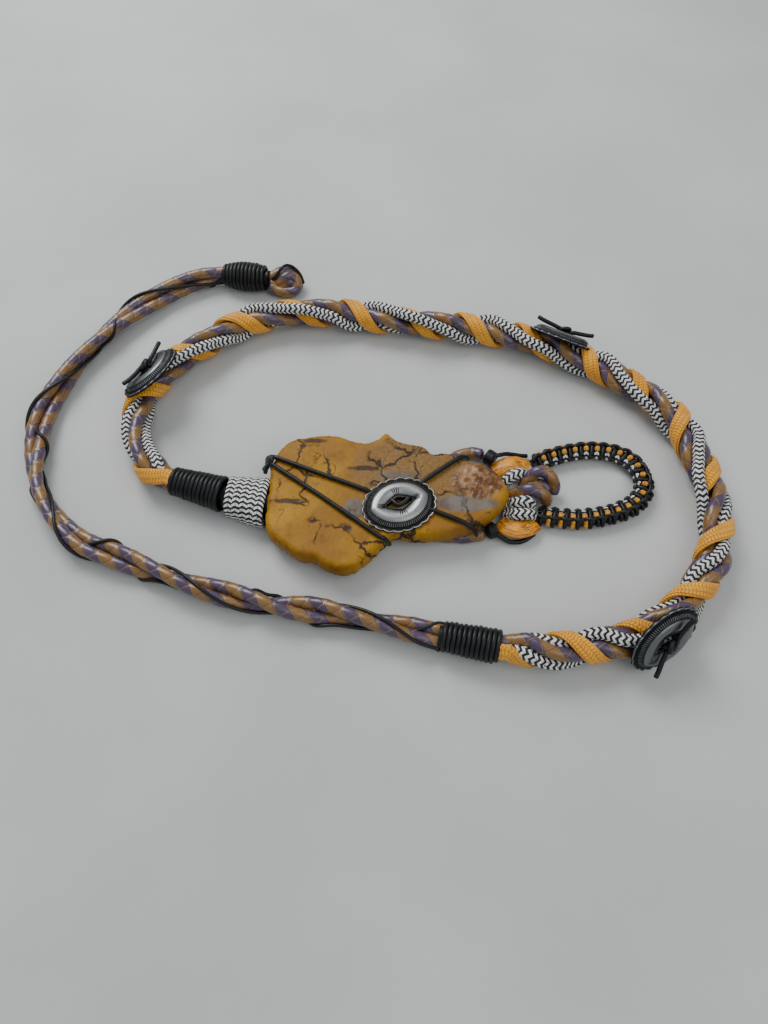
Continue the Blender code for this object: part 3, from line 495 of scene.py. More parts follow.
class Shade:
    """A short way to write a Principled material from maths and textures."""

    def __init__(self, name):
        self.mat = bpy.data.materials.new(name)
        self.mat.use_nodes = True
        self.tree = self.mat.node_tree
        self.shader = self.tree.nodes["Principled BSDF"]

    def node(self, kind, inputs=(), **values):
        made = self.tree.nodes.new(kind)
        for key, value in values.items():
            setattr(made, key, value)
        for key, value in dict(inputs).items():
            self.plug(value, made.inputs[key])
        return made

    def plug(self, value, socket):
        if isinstance(value, bpy.types.NodeSocket):
            self.tree.links.new(value, socket)
        else:
            socket.default_value = value

    def math(self, operation, a, b=0.0, c=0.0):
        return self.node("ShaderNodeMath", {0: a, 1: b, 2: c}, operation=operation).outputs[0]

    def add(self, a, b):
        return self.math("ADD", a, b)

    def sub(self, a, b):
        return self.math("SUBTRACT", a, b)

    def mul(self, a, b):
        return self.math("MULTIPLY", a, b)

    def ramp(self, value, low, high, to_low=0.0, to_high=1.0):
        inputs = {"Value": value, "From Min": low, "From Max": high, "To Min": to_low, "To Max": to_high}
        return self.node("ShaderNodeMapRange", inputs, interpolation_type="SMOOTHSTEP").outputs["Result"]

    def mix(self, factor, a, b):
        a, b = [v if isinstance(v, bpy.types.NodeSocket) else (*v, 1.0) for v in (a, b)]
        made = self.node("ShaderNodeMix", data_type="RGBA", blend_type="MIX")
        for key, value in (("Factor", factor), (6, a), (7, b)):
            self.plug(value, made.inputs[key])
        return made.outputs[2]

    def cord_uv(self):
        made = self.node("ShaderNodeUVMap", uv_map="cord")
        split = self.node("ShaderNodeSeparateXYZ")
        self.tree.links.new(made.outputs[0], split.inputs[0])
        return split.outputs["X"], split.outputs["Y"]

    def place(self):
        return self.node("ShaderNodeTexCoord").outputs["Object"]

    def noise(self, scale, detail=3.0, roughness=0.55, vector=None, colour=False):
        vector = self.place() if vector is None else vector
        inputs = {"Scale": scale, "Detail": detail, "Roughness": roughness, "Vector": vector}
        return self.node("ShaderNodeTexNoise", inputs).outputs["Color" if colour else "Fac"]

    def voronoi(self, scale, feature="F1", vector=None):
        vector = self.place() if vector is None else vector
        made = self.node("ShaderNodeTexVoronoi", {"Scale": scale, "Vector": vector}, feature=feature)
        return made.outputs["Distance"]

    def shift(self, wander, amount):
        inputs = {0: wander, 1: (amount, amount, amount), 2: self.place()}
        return self.node("ShaderNodeVectorMath", inputs, operation="MULTIPLY_ADD").outputs[0]

    def combine(self, x, y, z=0.0):
        return self.node("ShaderNodeCombineXYZ", {0: x, 1: y, 2: z}).outputs[0]

    def bump(self, height, strength, distance, under=None):
        inputs = {"Strength": strength, "Distance": distance, "Height": height}
        if under is not None:
            inputs["Normal"] = under
        return self.node("ShaderNodeBump", inputs).outputs[0]

    def set(self, **values):
        for key, value in values.items():
            socket = self.shader.inputs[key.replace("_", " ")]
            if isinstance(value, tuple) and len(value) == 3:
                value = (*value, 1.0)
            self.plug(value, socket)
        return self.mat


BRAID = 7.25
PURPLE = (0.055, 0.030, 0.070)
TAN = (0.185, 0.088, 0.018)


def braided_leather():
    """Four laces braided round: diamonds that alternate in purple and tan."""
    s = Shade("braided_leather")
    u, v = s.cord_uv()
    a = s.add(s.mul(u, 2.0), s.mul(v, 1.0 / BRAID))
    b = s.sub(s.mul(u, 2.0), s.mul(v, 1.0 / BRAID))
    cell_a = s.math("FLOOR", a)
    cell_b = s.math("FLOOR", b)
    first = s.math("FLOORED_MODULO", s.add(cell_a, cell_b), 2.0)
    colour_a = s.math("FLOORED_MODULO", cell_a, 2.0)
    colour_b = s.math("FLOORED_MODULO", cell_b, 2.0)
    is_tan = s.add(s.mul(colour_a, s.sub(1.0, first)), s.mul(colour_b, first))
    part_a = s.math("FRACT", a)
    part_b = s.math("FRACT", b)
    edge_a = s.math("ABSOLUTE", s.sub(part_a, 0.5))
    edge_b = s.math("ABSOLUTE", s.sub(part_b, 0.5))
    across = s.add(s.mul(edge_a, s.sub(1.0, first)), s.mul(edge_b, first))
    lengthwise = s.add(s.mul(edge_b, s.sub(1.0, first)), s.mul(edge_a, first))
    tone = s.noise(140.0, 3.0, 0.6)
    grain = s.noise(2600.0, 2.0, 0.6)
    purple = s.mix(s.ramp(tone, 0.3, 0.75), PURPLE, (0.075, 0.044, 0.092))
    other = s.math("FLOORED_MODULO", s.add(cell_a, s.add(cell_b, first)), 2.0)
    olive = s.mix(other, TAN, (0.125, 0.075, 0.022))
    tan = s.mix(s.ramp(tone, 0.3, 0.75), olive, (0.24, 0.118, 0.024))
    colour = s.mix(is_tan, purple, tan)
    # Each lace lightens towards its edge. Painted shade darkens the seam between laces and the ends of each
    # diamond, where the lace runs under the next.
    colour = s.mix(s.ramp(across, 0.40, 0.455), colour, (0.26, 0.15, 0.07))
    colour = s.mix(s.ramp(across, 0.462, 0.492), colour, (0.022, 0.014, 0.014))
    colour = s.mix(s.mul(s.ramp(lengthwise, 0.42, 0.5), 0.6), colour, (0.03, 0.02, 0.02))
    colour = s.mix(s.mul(s.ramp(grain, 0.45, 0.7), 0.18), colour, (0.04, 0.025, 0.03))
    rough = s.add(0.27, s.mul(grain, 0.16))
    creases = s.bump(grain, 0.12, 0.0004)
    return s.set(Base_Color=colour, Roughness=rough, Normal=creases, Specular_IOR_Level=0.6,
                 Coat_Weight=0.25, Coat_Roughness=0.2)


def patterned_cord(name="patterned_cord", around=5.0, period=2.3, rise=1.15):
    """A braided cover with zigzag rows of black and white round the cord."""
    s = Shade(name)
    u, v = s.cord_uv()
    zig = s.math("PINGPONG", s.mul(u, 2.0 * around), 1.0)
    wobble = s.mul(s.sub(s.noise(420.0, 2.0), 0.5), 0.55)
    row = s.math("FRACT", s.mul(s.add(s.add(v, s.mul(zig, rise)), wobble), 1.0 / period))
    stripe = s.math("ABSOLUTE", s.sub(row, 0.5))
    white = s.ramp(stripe, 0.235, 0.275)
    white = s.mul(white, s.ramp(s.noise(900.0, 1.0), 0.30, 0.36))
    column = s.math("ABSOLUTE", s.sub(s.math("FRACT", s.mul(u, 2.0 * around)), 0.5))
    dip = s.ramp(column, 0.40, 0.5)
    fibre = s.noise(3500.0, 2.0, 0.7)
    pale = s.mix(s.ramp(fibre, 0.3, 0.7), (0.62, 0.62, 0.60), (0.86, 0.86, 0.84))
    dark = s.mix(s.ramp(fibre, 0.3, 0.7), (0.006, 0.006, 0.007), (0.028, 0.028, 0.03))
    colour = s.mix(white, dark, pale)
    # Painted shade in the grooves between the braid's columns.
    colour = s.mix(s.mul(dip, 0.55), colour, (0.02, 0.02, 0.02))
    height = s.sub(s.mul(white, 0.5), s.mul(dip, 0.8))
    relief = s.bump(height, 0.5, 0.0003, s.bump(fibre, 0.25, 0.0002))
    return s.set(Base_Color=colour, Roughness=0.72, Normal=relief, Specular_IOR_Level=0.35)


def orange_weave(name="orange_weave", columns=5.0, stitch=1.25):
    """A flat woven cord: columns of small V stitches in warm orange."""
    s = Shade(name)
    u, v = s.cord_uv()
    column = s.mul(u, 2.0 * columns)
    within = s.math("ABSOLUTE", s.sub(s.math("FRACT", column), 0.5))
    slant = s.math("PINGPONG", column, 1.0)
    row = s.math("FRACT", s.mul(s.add(v, s.mul(slant, 0.8)), 1.0 / stitch))
    gap = s.ramp(s.math("ABSOLUTE", s.sub(row, 0.5)), 0.30, 0.5)
    dip = s.math("MAXIMUM", s.mul(s.ramp(within, 0.36, 0.5), 0.8), gap)
    yarn = s.noise(2400.0, 3.0, 0.65)
    tone = s.noise(180.0, 2.0)
    lit = s.mix(s.ramp(tone, 0.3, 0.7), (0.76, 0.29, 0.001), (0.92, 0.41, 0.003))
    # Painted highlights flecked over the yarn by noise.
    colour = s.mix(s.mul(s.ramp(yarn, 0.45, 0.7), 0.5), lit, (1.0, 0.52, 0.03))
    # Painted shade in the gaps between stitches and between columns.
    colour = s.mix(s.mul(dip, 0.55), colour, (0.20, 0.055, 0.001))
    height = s.sub(1.0, dip)
    relief = s.bump(height, 0.8, 0.0004, s.bump(yarn, 0.35, 0.0002))
    return s.set(Base_Color=colour, Roughness=0.55, Normal=relief, Specular_IOR_Level=0.4,
                 Sheen_Weight=0.2)


def orange_silk():
    """Loose silky yarns laid side by side."""
    s = Shade("orange_silk")
    u, v = s.cord_uv()
    field = s.combine(s.mul(u, 42.0), s.mul(v, 0.22), 0.0)
    yarn = s.noise(1.0, 3.0, 0.7, vector=field)
    broad = s.noise(1.0, 2.0, 0.6, vector=s.combine(s.mul(u, 14.0), s.mul(v, 0.5), 4.0))
    colour = s.mix(s.ramp(yarn, 0.36, 0.62), (0.30, 0.085, 0.001), (0.90, 0.36, 0.004))
    colour = s.mix(s.mul(s.ramp(broad, 0.55, 0.75), 0.6), colour, (0.95, 0.50, 0.06))
    relief = s.bump(yarn, 0.9, 0.0004)
    return s.set(Base_Color=colour, Roughness=0.36, Normal=relief, Specular_IOR_Level=0.6)


def black_lace():
    """Glossy black leather lace."""
    s = Shade("black_lace")
    tone = s.noise(260.0, 3.0, 0.6)
    grain = s.noise(3000.0, 2.0, 0.6)
    colour = s.mix(s.ramp(tone, 0.35, 0.75), (0.0018, 0.0019, 0.0024), (0.007, 0.0075, 0.009))
    rough = s.add(0.30, s.mul(grain, 0.2))
    relief = s.bump(grain, 0.2, 0.0003, s.bump(tone, 0.15, 0.0006))
    return s.set(Base_Color=colour, Roughness=rough, Normal=relief, Specular_IOR_Level=0.38)


def old_silver(name, dark, bright):
    """Silver with dark tarnish in what is low."""
    s = Shade(name)
    shade = s.node("ShaderNodeAttribute", attribute_name="wear").outputs["Fac"]
    tone = s.noise(420.0, 4.0, 0.6)
    scratch = s.noise(2400.0, 3.0, 0.7)
    worn = s.math("MULTIPLY_ADD", s.sub(tone, 0.5), 0.35, shade)
    colour = s.mix(s.ramp(worn, 0.25, 0.8), dark, bright)
    rough = s.ramp(worn, 0.2, 0.9, 0.58, 0.38)
    relief = s.bump(scratch, 0.08, 0.0003, s.bump(tone, 0.12, 0.0006))
    return s.set(Base_Color=colour, Metallic=s.ramp(worn, 0.0, 0.4, 0.75, 1.0),
                 Roughness=rough, Normal=relief)


def stone_finish():
    """Ochre stone: brown grain in the middle, grey windows, dark veins, a glassy right end."""
    s = Shade("ochre_stone")
    place = s.place()
    split = s.node("ShaderNodeSeparateXYZ")
    s.tree.links.new(place, split.inputs[0])
    x, y = split.outputs["X"], split.outputs["Y"]

    def patch(cx, cy, rx, ry, soft=0.25, wobble=0.5, scale=90.0):
        """1 inside a wobbly oval in table millimetres, 0 outside."""
        dx = s.mul(s.sub(x, (cx - MIDDLE[0]) * MM), 1.0 / (rx * MM))
        dy = s.mul(s.sub(y, (cy - MIDDLE[1]) * MM), 1.0 / (ry * MM))
        far = s.math("SQRT", s.add(s.mul(dx, dx), s.mul(dy, dy)))
        far = s.add(far, s.mul(s.sub(s.noise(scale, 4.0, 0.6), 0.5), wobble))
        return s.ramp(far, 1.0 - soft, 1.0 + soft, 1.0, 0.0)

    broad = s.noise(38.0, 4.0, 0.55)
    cloud = s.noise(120.0, 5.0, 0.6)
    grain = s.noise(900.0, 4.0, 0.7)
    ochre = s.mix(s.ramp(broad, 0.38, 0.62), (0.255, 0.112, 0.0006), (0.375, 0.185, 0.0012))
    ochre = s.mix(s.mul(s.ramp(cloud, 0.5, 0.72), 0.7), ochre, (0.165, 0.064, 0.001))
    brown = s.mix(s.ramp(grain, 0.35, 0.65), (0.125, 0.062, 0.018), (0.225, 0.125, 0.045))
    middle = patch(14.0, 12.0, 27.0, 18.0, 0.2, 0.9)
    colour = s.mix(s.mul(middle, 0.8), ochre, brown)
    warm = s.mix(s.ramp(cloud, 0.35, 0.65), (0.27, 0.112, 0.003), (0.20, 0.092, 0.010))
    right_low = patch(27.0, -10.0, 18.0, 7.0, 0.2, 0.6)
    colour = s.mix(s.mul(right_low, 0.9), colour, warm)
    grey_tone = s.mix(s.ramp(cloud, 0.35, 0.65), (0.075, 0.070, 0.064), (0.16, 0.150, 0.135))
    grey = patch(35.0, -3.5, 13.0, 4.2, 0.2, 0.8)
    grey = s.math("MAXIMUM", grey, patch(-12.5, -6.5, 4.5, 5.0, 0.25, 0.8))
    grey = s.math("MAXIMUM", grey, s.mul(patch(6.0, 10.5, 9.0, 2.4, 0.3, 0.7), 0.8))
    colour = s.mix(s.mul(grey, 0.85), colour, grey_tone)
    lump = patch(41.0, 7.5, 11.0, 9.0, 0.16, 0.5)
    crystal = s.mix(s.ramp(s.voronoi(210.0), 0.12, 0.5), (0.15, 0.060, 0.020), (0.36, 0.20, 0.10))
    crystal = s.mix(s.ramp(cloud, 0.42, 0.62), crystal, (0.10, 0.035, 0.010))
    colour = s.mix(s.mul(lump, 0.92), colour, crystal)
    bent = s.shift(s.noise(60.0, 4.0, 0.6, colour=True), 0.020)
    crack = s.ramp(s.voronoi(44.0, "DISTANCE_TO_EDGE", bent), 0.010, 0.040, 1.0, 0.0)
    crack = s.mul(crack, s.ramp(s.noise(52.0, 3.0), 0.46, 0.56))
    fine_bent = s.shift(s.noise(130.0, 3.0, 0.6, colour=True), 0.009)
    fine = s.ramp(s.voronoi(120.0, "DISTANCE_TO_EDGE", fine_bent), 0.008, 0.034, 1.0, 0.0)
    fine = s.mul(fine, s.ramp(s.noise(75.0, 2.0), 0.54, 0.64))
    veins = s.math("MAXIMUM", crack, s.mul(fine, 0.8))
    for cx, cy, rx, ry in ((-31.0, 28.5, 5.5, 1.2), (-40.5, -2.5, 6.5, 1.1), (-8.0, 14.0, 6.0, 1.2)):
        veins = s.math("MAXIMUM", veins, s.mul(patch(cx, cy, rx, ry, 0.35, 2.0, 260.0), 0.9))
    veins = s.mul(veins, s.sub(1.0, s.mul(lump, 0.7)))
    colour = s.mix(s.mul(veins, 0.95), colour, (0.010, 0.006, 0.004))
    colour = s.mix(s.mul(s.ramp(grain, 0.55, 0.8), 0.25), colour, (0.09, 0.035, 0.006))
    rough = s.add(s.ramp(lump, 0.0, 1.0, 0.48, 0.22), s.mul(grain, 0.12))
    relief = s.bump(grain, 0.12, 0.0006, s.bump(s.sub(cloud, veins), 0.35, 0.0012))
    return s.set(Base_Color=colour, Roughness=rough, Normal=relief, Specular_IOR_Level=0.28)


def table_finish():
    s = Shade("pale_table")
    tone = s.noise(9.0, 4.0, 0.5)
    fine = s.noise(420.0, 3.0, 0.6)
    colour = s.mix(s.ramp(tone, 0.3, 0.7), (0.50, 0.515, 0.50), (0.56, 0.575, 0.56))
    relief = s.bump(fine, 0.12, 0.0005)
    return s.set(Base_Color=colour, Roughness=0.85, Normal=relief, Specular_IOR_Level=0.2)


LEATHER = braided_leather()
PATTERNED = patterned_cord()
ORANGE = orange_weave()
SILK = orange_silk()
WIDE_PATTERN = patterned_cord("wide_pattern", 2.0, 2.0, 1.5)
KNOB_PATTERN = patterned_cord("knob_pattern", 4.0, 1.8, 1.3)
FINE_PATTERN = patterned_cord("fine_pattern", 2.0, 1.7, 0.9)
BLACK = black_lace()
STONE = stone_finish()
BRIGHT_SILVER = old_silver("bright_silver", (0.014, 0.012, 0.011), (0.30, 0.305, 0.305))
DARK_SILVER = old_silver("dark_silver", (0.012, 0.012, 0.013), (0.17, 0.178, 0.185))


# Surface relief of the cords

def braid_relief(u, v):
    """Height of four laces braided round a cord."""
    a = 2.0 * u + v / BRAID
    b = 2.0 * u - v / BRAID
    first = (np.floor(a) + np.floor(b)) % 2
    part_a = np.abs(a - np.floor(a) - 0.5)
    part_b = np.abs(b - np.floor(b) - 0.5)
    across = np.where(first < 0.5, part_a, part_b)
    lengthwise = np.where(first < 0.5, part_b, part_a)
    crown = 1 - (2 * across) ** 4
    return 0.22 * crown + 0.20 * (1 - (2 * lengthwise) ** 2) - 0.26


def woven_relief(u, v):
    """Fine plaited cover."""
    a = 5.0 * u + v / 2.3
    b = 5.0 * u - v / 2.3
    return 0.10 * np.abs(np.sin(math.pi * a) * np.sin(math.pi * b)) - 0.05


BRAIDED = {"sides": 32, "relief": braid_relief}


# The rope and the tail

def make_rope():
    stations, path, strands = rope_strands()
    height = lowest_reach(strands)
    long_path, drawn = tucked(stations, path, strands, ROPE_SQUEEZE)
    for name, item in drawn.items():
        rows = on_table(long_path, item["place"], height)
        if name == "orange_strand":
            sideways = left_normals(long_path) * item["place"][:, :1]
            outward = finer(np.column_stack([sideways, item["place"][:, 1]]), ORANGE_STEP)[2:-2]
            centres = finer(rows, ORANGE_STEP)[2:-2]
            thing = flat_cord(name, centres, outward, ORANGE_WIDTH, ORANGE_THICKNESS, ORANGE)
        elif name.startswith("patterned"):
            centres = finer(rows, PATTERNED_STEP)[1:-1]
            thing = cord(name, centres, PATTERNED_DIA, PATTERNED, 20, woven_relief, rounded=False)
        else:
            centres = finer(rows, LEATHER_STEP)[1:-1]
            thing = cord(name, centres, LEATHER_DIA, LEATHER, rounded=False, **BRAIDED)
        dress(thing, name)
    return stations, path, strands, height


def make_tail():
    stations, path, strands = tail_strands()
    height = lowest_reach(strands)
    long_path, drawn = tucked(stations, path, strands, TAIL_SQUEEZE)
    for name, item in drawn.items():
        rows = on_table(long_path, item["place"], height)
        if "lace" in name:
            thing = cord(name, finer(rows, LACE_STEP)[1:-1], LACE_DIA, BLACK, 12)
        else:
            centres = finer(rows, LEATHER_STEP)[1:-1]
            thing = cord(name, centres, LEATHER_DIA, LEATHER, rounded=False, **BRAIDED)
        dress(thing, name)


# Wraps

def coil(name, ends, heights, radii, dia, turns, jitter=0.12, lean=0.0, per_turn=36):
    """Black cord wound side by side round an axis from one end to the other."""
    start = np.array([*ends[0], heights[0]], dtype=float)
    end = np.array([*ends[1], heights[1]], dtype=float)
    length, along, across, up = axis_frame(start, end)
    t = np.linspace(0.0, 1.0, turns * per_turn + 1)
    wave = np.interp(t, np.linspace(0, 1, turns * 2 + 1), rng.normal(0.0, jitter, turns * 2 + 1))
    radius = np.interp(t, np.linspace(0, 1, len(radii)), radii) - 0.5 * dia + wave
    turn = 2 * math.pi * turns * t
    inset = 0.5 * dia
    place = inset + (length - 2 * inset) * t + lean * np.cos(turn)
    centres = (start + along * place[:, None] + across * (radius * np.cos(turn))[:, None]
               + up * (radius * np.sin(turn))[:, None])
    dress(cord(name, centres, dia * 1.06, BLACK, 10, first=along), name)


def core(name, start, end, dia, **shape):
    """The straight black core under a wrap."""
    lay(name + "_core", [start, end], dia, BLACK, rounded=False, **shape)


def make_wraps():
    for name, (ends, heights, radii, dia, turns, lean, core_dia) in WRAPS.items():
        coil(name, ends, heights, radii, dia, turns, lean=lean)
        core(name, (*ends[0], heights[0]), (*ends[1], heights[1]), core_dia, step=1.0, sides=24)


# The stone

def edge_distance(points, outline):
    """Distance from each point to the outline, in mm."""
    nearest = np.full(len(points), 1e9)
    closed = np.vstack([outline, outline[:1]])
    for a, b in zip(closed[:-1], closed[1:]):
        edge = b - a
        t = np.clip(((points - a) @ edge) / (edge @ edge), 0.0, 1.0)
        nearest = np.minimum(nearest, np.linalg.norm(points - a - t[:, None] * edge, axis=1))
    return nearest


def waves(x, y, count, low, high, seed):
    """Smooth uneven height from a few seeded waves."""
    pick = np.random.default_rng(seed)
    total = np.zeros_like(x)
    for _ in range(count):
        size = pick.uniform(low, high)
        way = pick.uniform(0, 2 * math.pi)
        total += np.sin((x * math.cos(way) + y * math.sin(way)) * 2 * math.pi / size
                        + pick.uniform(0, 6.28)) / count
    return total


# Share of the way from the middle to the outline, share of the height
STONE_SIDES = [
    (0.0, 0.0), (0.5, 0.0), (0.93, 0.0), (0.975, 0.0), (1.0, 0.18), (1.0, 0.45), (0.998, 0.62),
    (0.985, 0.78)]


def make_stone():
    """The slab: a dense skin from its outline to its middle, over a flat back."""
    outline_path = smooth_path(STONE_OUTLINE + STONE_OUTLINE[:1], 0.7)[1][:-1]
    cols = len(outline_path)
    rough = waves(outline_path[:, 0], outline_path[:, 1], 9, 2.5, 9.0, 3)
    normals = left_normals(np.vstack([outline_path[-1:], outline_path, outline_path[:1]]))[1:-1]
    chips = waves(outline_path[:, 0], outline_path[:, 1], 9, 1.2, 3.0, 4)
    outline_path = outline_path + normals * (0.5 * rough + 0.4 * chips)[:, None]
    spine = np.clip(outline_path[:, 0], -34.0, 34.0)
    middle = np.column_stack([spine, np.interp(spine, [-34, -10, 10, 34], [1.0, 0.0, 4.0, 5.0])])
    rings = []
    for share, rise in STONE_SIDES:
        flat = middle + (outline_path - middle) * share
        z = STONE_UNDERSIDE + rise * (STONE_TOP - STONE_UNDERSIDE)
        rings.append(np.column_stack([flat, np.full(cols, z)]))
    for share in np.concatenate([[0.965, 0.94, 0.91], np.linspace(0.88, 0.02, 34)]):
        flat = middle + (outline_path - middle) * share
        rings.append(np.column_stack([flat, surface(flat, outline_path)]))
    points = np.stack(rings)
    thing = grid_mesh("stone_slab", points, STONE)
    dress(thing, "stone_slab")


def surface(flat, outline):
    """Height of the stone's upper face."""
    x, y = flat[:, 0], flat[:, 1]
    depth = edge_distance(flat, outline)
    edge = smoothstep(depth, 0.0, 2.4)
    top = STONE_TOP - 1.3 * (1 - edge)
    top = top + 0.22 * waves(x, y, 10, 6.0, 26.0, 5) * edge + 0.10 * waves(x, y, 14, 1.6, 5.0, 8)
    lump = np.exp(-(((x - 40.0) / 9.5) ** 2 + ((y - 7.5) / 8.0) ** 2) ** 1.5)
    top = top + lump * (0.3 + 1.3 * waves(x, y, 10, 2.0, 6.0, 12))
    near_concho = np.exp(-(((x - 6.5) / 18.0) ** 2 + ((y + 4.8) / 15.0) ** 2) ** 2)
    return top * (1 - near_concho) + np.minimum(top, STONE_TOP + 0.05) * near_concho


# Conchos, ties and lacing

CONCHO_LENGTH = 32.0
CONCHO_WIDTH = 26.0
SCALLOPS = 22
TICKS = 88
BEADS = 40
RAYS = 4
SLOT_LENGTH = 12.0
SLOT_WIDTH = 5.2
# Share of the way from the slot to the rim, height in mm, brightness of the metal
CONCHO_PROFILE = [
    (0.000, 1.60, 0.10), (0.015, 2.55, 0.45), (0.045, 2.90, 0.70), (0.080, 2.75, 0.40),
    (0.100, 2.60, 0.15), (0.125, 2.75, 0.30), (0.170, 3.10, 0.60), (0.240, 3.55, 0.75),
    (0.320, 3.90, 0.85), (0.420, 4.10, 0.95), (0.520, 4.02, 0.95), (0.600, 3.75, 0.90),
    (0.655, 3.35, 0.80), (0.675, 3.12, 0.40), (0.690, 2.98, 0.10), (0.705, 2.92, 0.45),
    (0.750, 2.50, 0.60), (0.800, 2.00, 0.60), (0.830, 1.70, 0.35), (0.845, 1.45, 0.06),
    (0.870, 1.30, 0.22), (0.920, 1.25, 0.34), (0.950, 1.20, 0.36), (0.965, 1.32, 0.75),
    (0.983, 1.36, 1.00), (0.995, 1.20, 0.80), (1.000, 0.85, 0.40)]


def facing_frame(heading, lean):
    """Directions of a plate: along its length, across it, and out of its face."""
    turn, tilt = math.radians(heading), math.radians(lean)
    along = np.array([math.cos(turn), math.sin(turn), 0.0])
    level = np.array([-math.sin(turn), math.cos(turn), 0.0])
    out = level * math.sin(tilt) + np.array([0.0, 0.0, math.cos(tilt)])
    across = np.array([0.0, 0.0, math.sin(tilt)]) - level * math.cos(tilt)
    return along, across, out


def make_concho(name, place, facing, turn, finish):
    """A domed oval: beaded slot, engraved rays, a ring of ticks and a scalloped rim."""
    cols = SCALLOPS * 24
    angle = 2 * math.pi * np.arange(cols) / cols
    c, sn = np.cos(angle), np.sin(angle)
    diamond = 1.0 / (np.abs(c) ** 1.15 / (0.5 * SLOT_LENGTH) + np.abs(sn) ** 1.15 / (0.5 * SLOT_WIDTH))
    slot = np.stack([c * diamond, sn * diamond], axis=1)
    scallop = np.abs(np.sin(0.5 * SCALLOPS * angle)) ** 0.8
    rim = np.stack([0.5 * CONCHO_LENGTH * c, 0.5 * CONCHO_WIDTH * sn], axis=1)
    table = np.array(CONCHO_PROFILE)
    shares = np.unique(np.concatenate([table[:, 0], np.linspace(0.69, 0.84, 9), np.linspace(0.1, 0.66, 16)]))
    heights = np.interp(shares, table[:, 0], table[:, 1])
    bright = np.interp(shares, table[:, 0], table[:, 2])
    tick = 0.5 - 0.5 * np.cos(TICKS * angle)
    rows, wear = [], []
    for share, z, glow in zip(shares, heights, bright):
        reach = share + (0.062 * (scallop - 0.7)) * smoothstep(share, 0.85, 0.96)
        flat = slot + (rim - slot) * np.asarray(reach)[:, None]
        level = np.full(cols, z)
        shade = np.full(cols, glow)
        ring = smoothstep(share, 0.705, 0.725) * (1 - smoothstep(share, 0.81, 0.835))
        groove = (tick < 0.36) * ring
        level = level - 0.34 * groove
        shade = shade * (1 - 0.85 * groove)
        bead = smoothstep(share, 0.01, 0.03) * (1 - smoothstep(share, 0.07, 0.095))
        beads = 0.5 - 0.5 * np.cos(BEADS * angle)
        level = level - 0.25 * bead * (beads < 0.3)
        shade = shade * (1 - 0.6 * bead * (beads < 0.3))
        for tip, spread in ((0.0, 0.30), (math.pi / 2, 0.42)):
            for k in range(RAYS):
                ray = tip + spread * (k - 0.5 * (RAYS - 1)) / (RAYS - 1)
                far = np.abs((angle - ray + 0.5 * math.pi) % math.pi - 0.5 * math.pi)
                cut = (far < 0.026) * smoothstep(share, 0.10, 0.14) * (1 - smoothstep(share, 0.34, 0.42))
                level = level - 0.16 * cut
                shade = shade * (1 - 0.8 * cut)
        wave = (1 - scallop) * smoothstep(share, 0.86, 0.97)
        level = level - 0.25 * wave
        rows.append(np.column_stack([flat, level]))
        wear.append(shade)
    for share, z in ((0.99, 0.1), (0.6, 0.05), (0.02, 0.05)):
        flat = slot + (rim - slot) * (share + 0.062 * (scallop - 0.7) * (share > 0.9))[:, None]
        rows.append(np.column_stack([flat, np.full(cols, z)]))
        wear.append(np.full(cols, 0.2))
    local = np.stack(rows)
    along, across, out = facing
    along, across = swung(along, across, turn)
    points = (np.array(place) + local[..., :1] * along + local[..., 1:2] * (-across)
              + local[..., 2:] * out)
    thing = grid_mesh(name, points, finish, closed=True)
    layer = thing.data.attributes.new("wear", "FLOAT", "POINT")
    layer.data.foreach_set("value", np.concatenate(wear).astype(np.float32))
    dress(thing, name)


def knot_path(place, along, across, out, rows):
    """Places measured from a concho's middle: along, across and out of its face."""
    return [np.array(place) + along * a + across * b + out * c for a, b, c in rows]


TIE_ROWS = [
    (-14.2, 0.4, 6.6), (-11.0, 0.8, 6.0), (-7.4, 0.6, 5.6), (-4.6, 0.1, 5.3), (-2.4, -1.0, 5.0),
    (-0.4, -1.9, 4.9), (1.7, -1.5, 5.4), (2.3, 0.1, 6.0), (1.2, 1.6, 6.0), (-0.8, 1.7, 5.2),
    (-2.0, 0.3, 4.3), (-1.2, -1.1, 3.6), (0.6, -1.1, 3.4), (2.2, -0.1, 4.0), (4.4, 0.4, 5.1),
    (7.4, 0.2, 5.6), (11.0, -0.5, 6.2), (14.2, -0.3, 7.0)]


TIE_LOOP_ROWS = [
    (-3.2, -1.5, 1.0), (-2.4, -1.2, 2.9), (-0.8, -0.9, 4.2), (0.9, -0.1, 4.5), (2.0, 0.8, 3.2),
    (2.8, 1.2, 1.0)]


def make_tie(name, place, along, across, out, swing):
    """Black cord knotted over the slot, with two short free ends, and its loop through the slot."""
    along, across = swung(along, across, swing)
    tie = knot_path(place, along, across, out, TIE_ROWS)
    lay(name, tie, BLACK_CORD_DIA, BLACK, name, step=0.35, sides=16)
    loop = knot_path(place, along, across, out, TIE_LOOP_ROWS)
    lay(name + "_through", loop, BLACK_CORD_DIA * 0.9, BLACK, step=0.35, sides=14)


# Station, lean, slide, how far it sinks between the strands, turn in its plane, swing of the tie
ROPE_CONCHOS = {
    "left": (61.0, 36.0, 5.0, 2.4, 0.0, 0.0),
    "top": (274.0, 46.0, 0.0, 2.6, 0.0, 0.0),
    "right": (459.0, 65.0, 3.0, 1.6, -24.0, -24.0)}


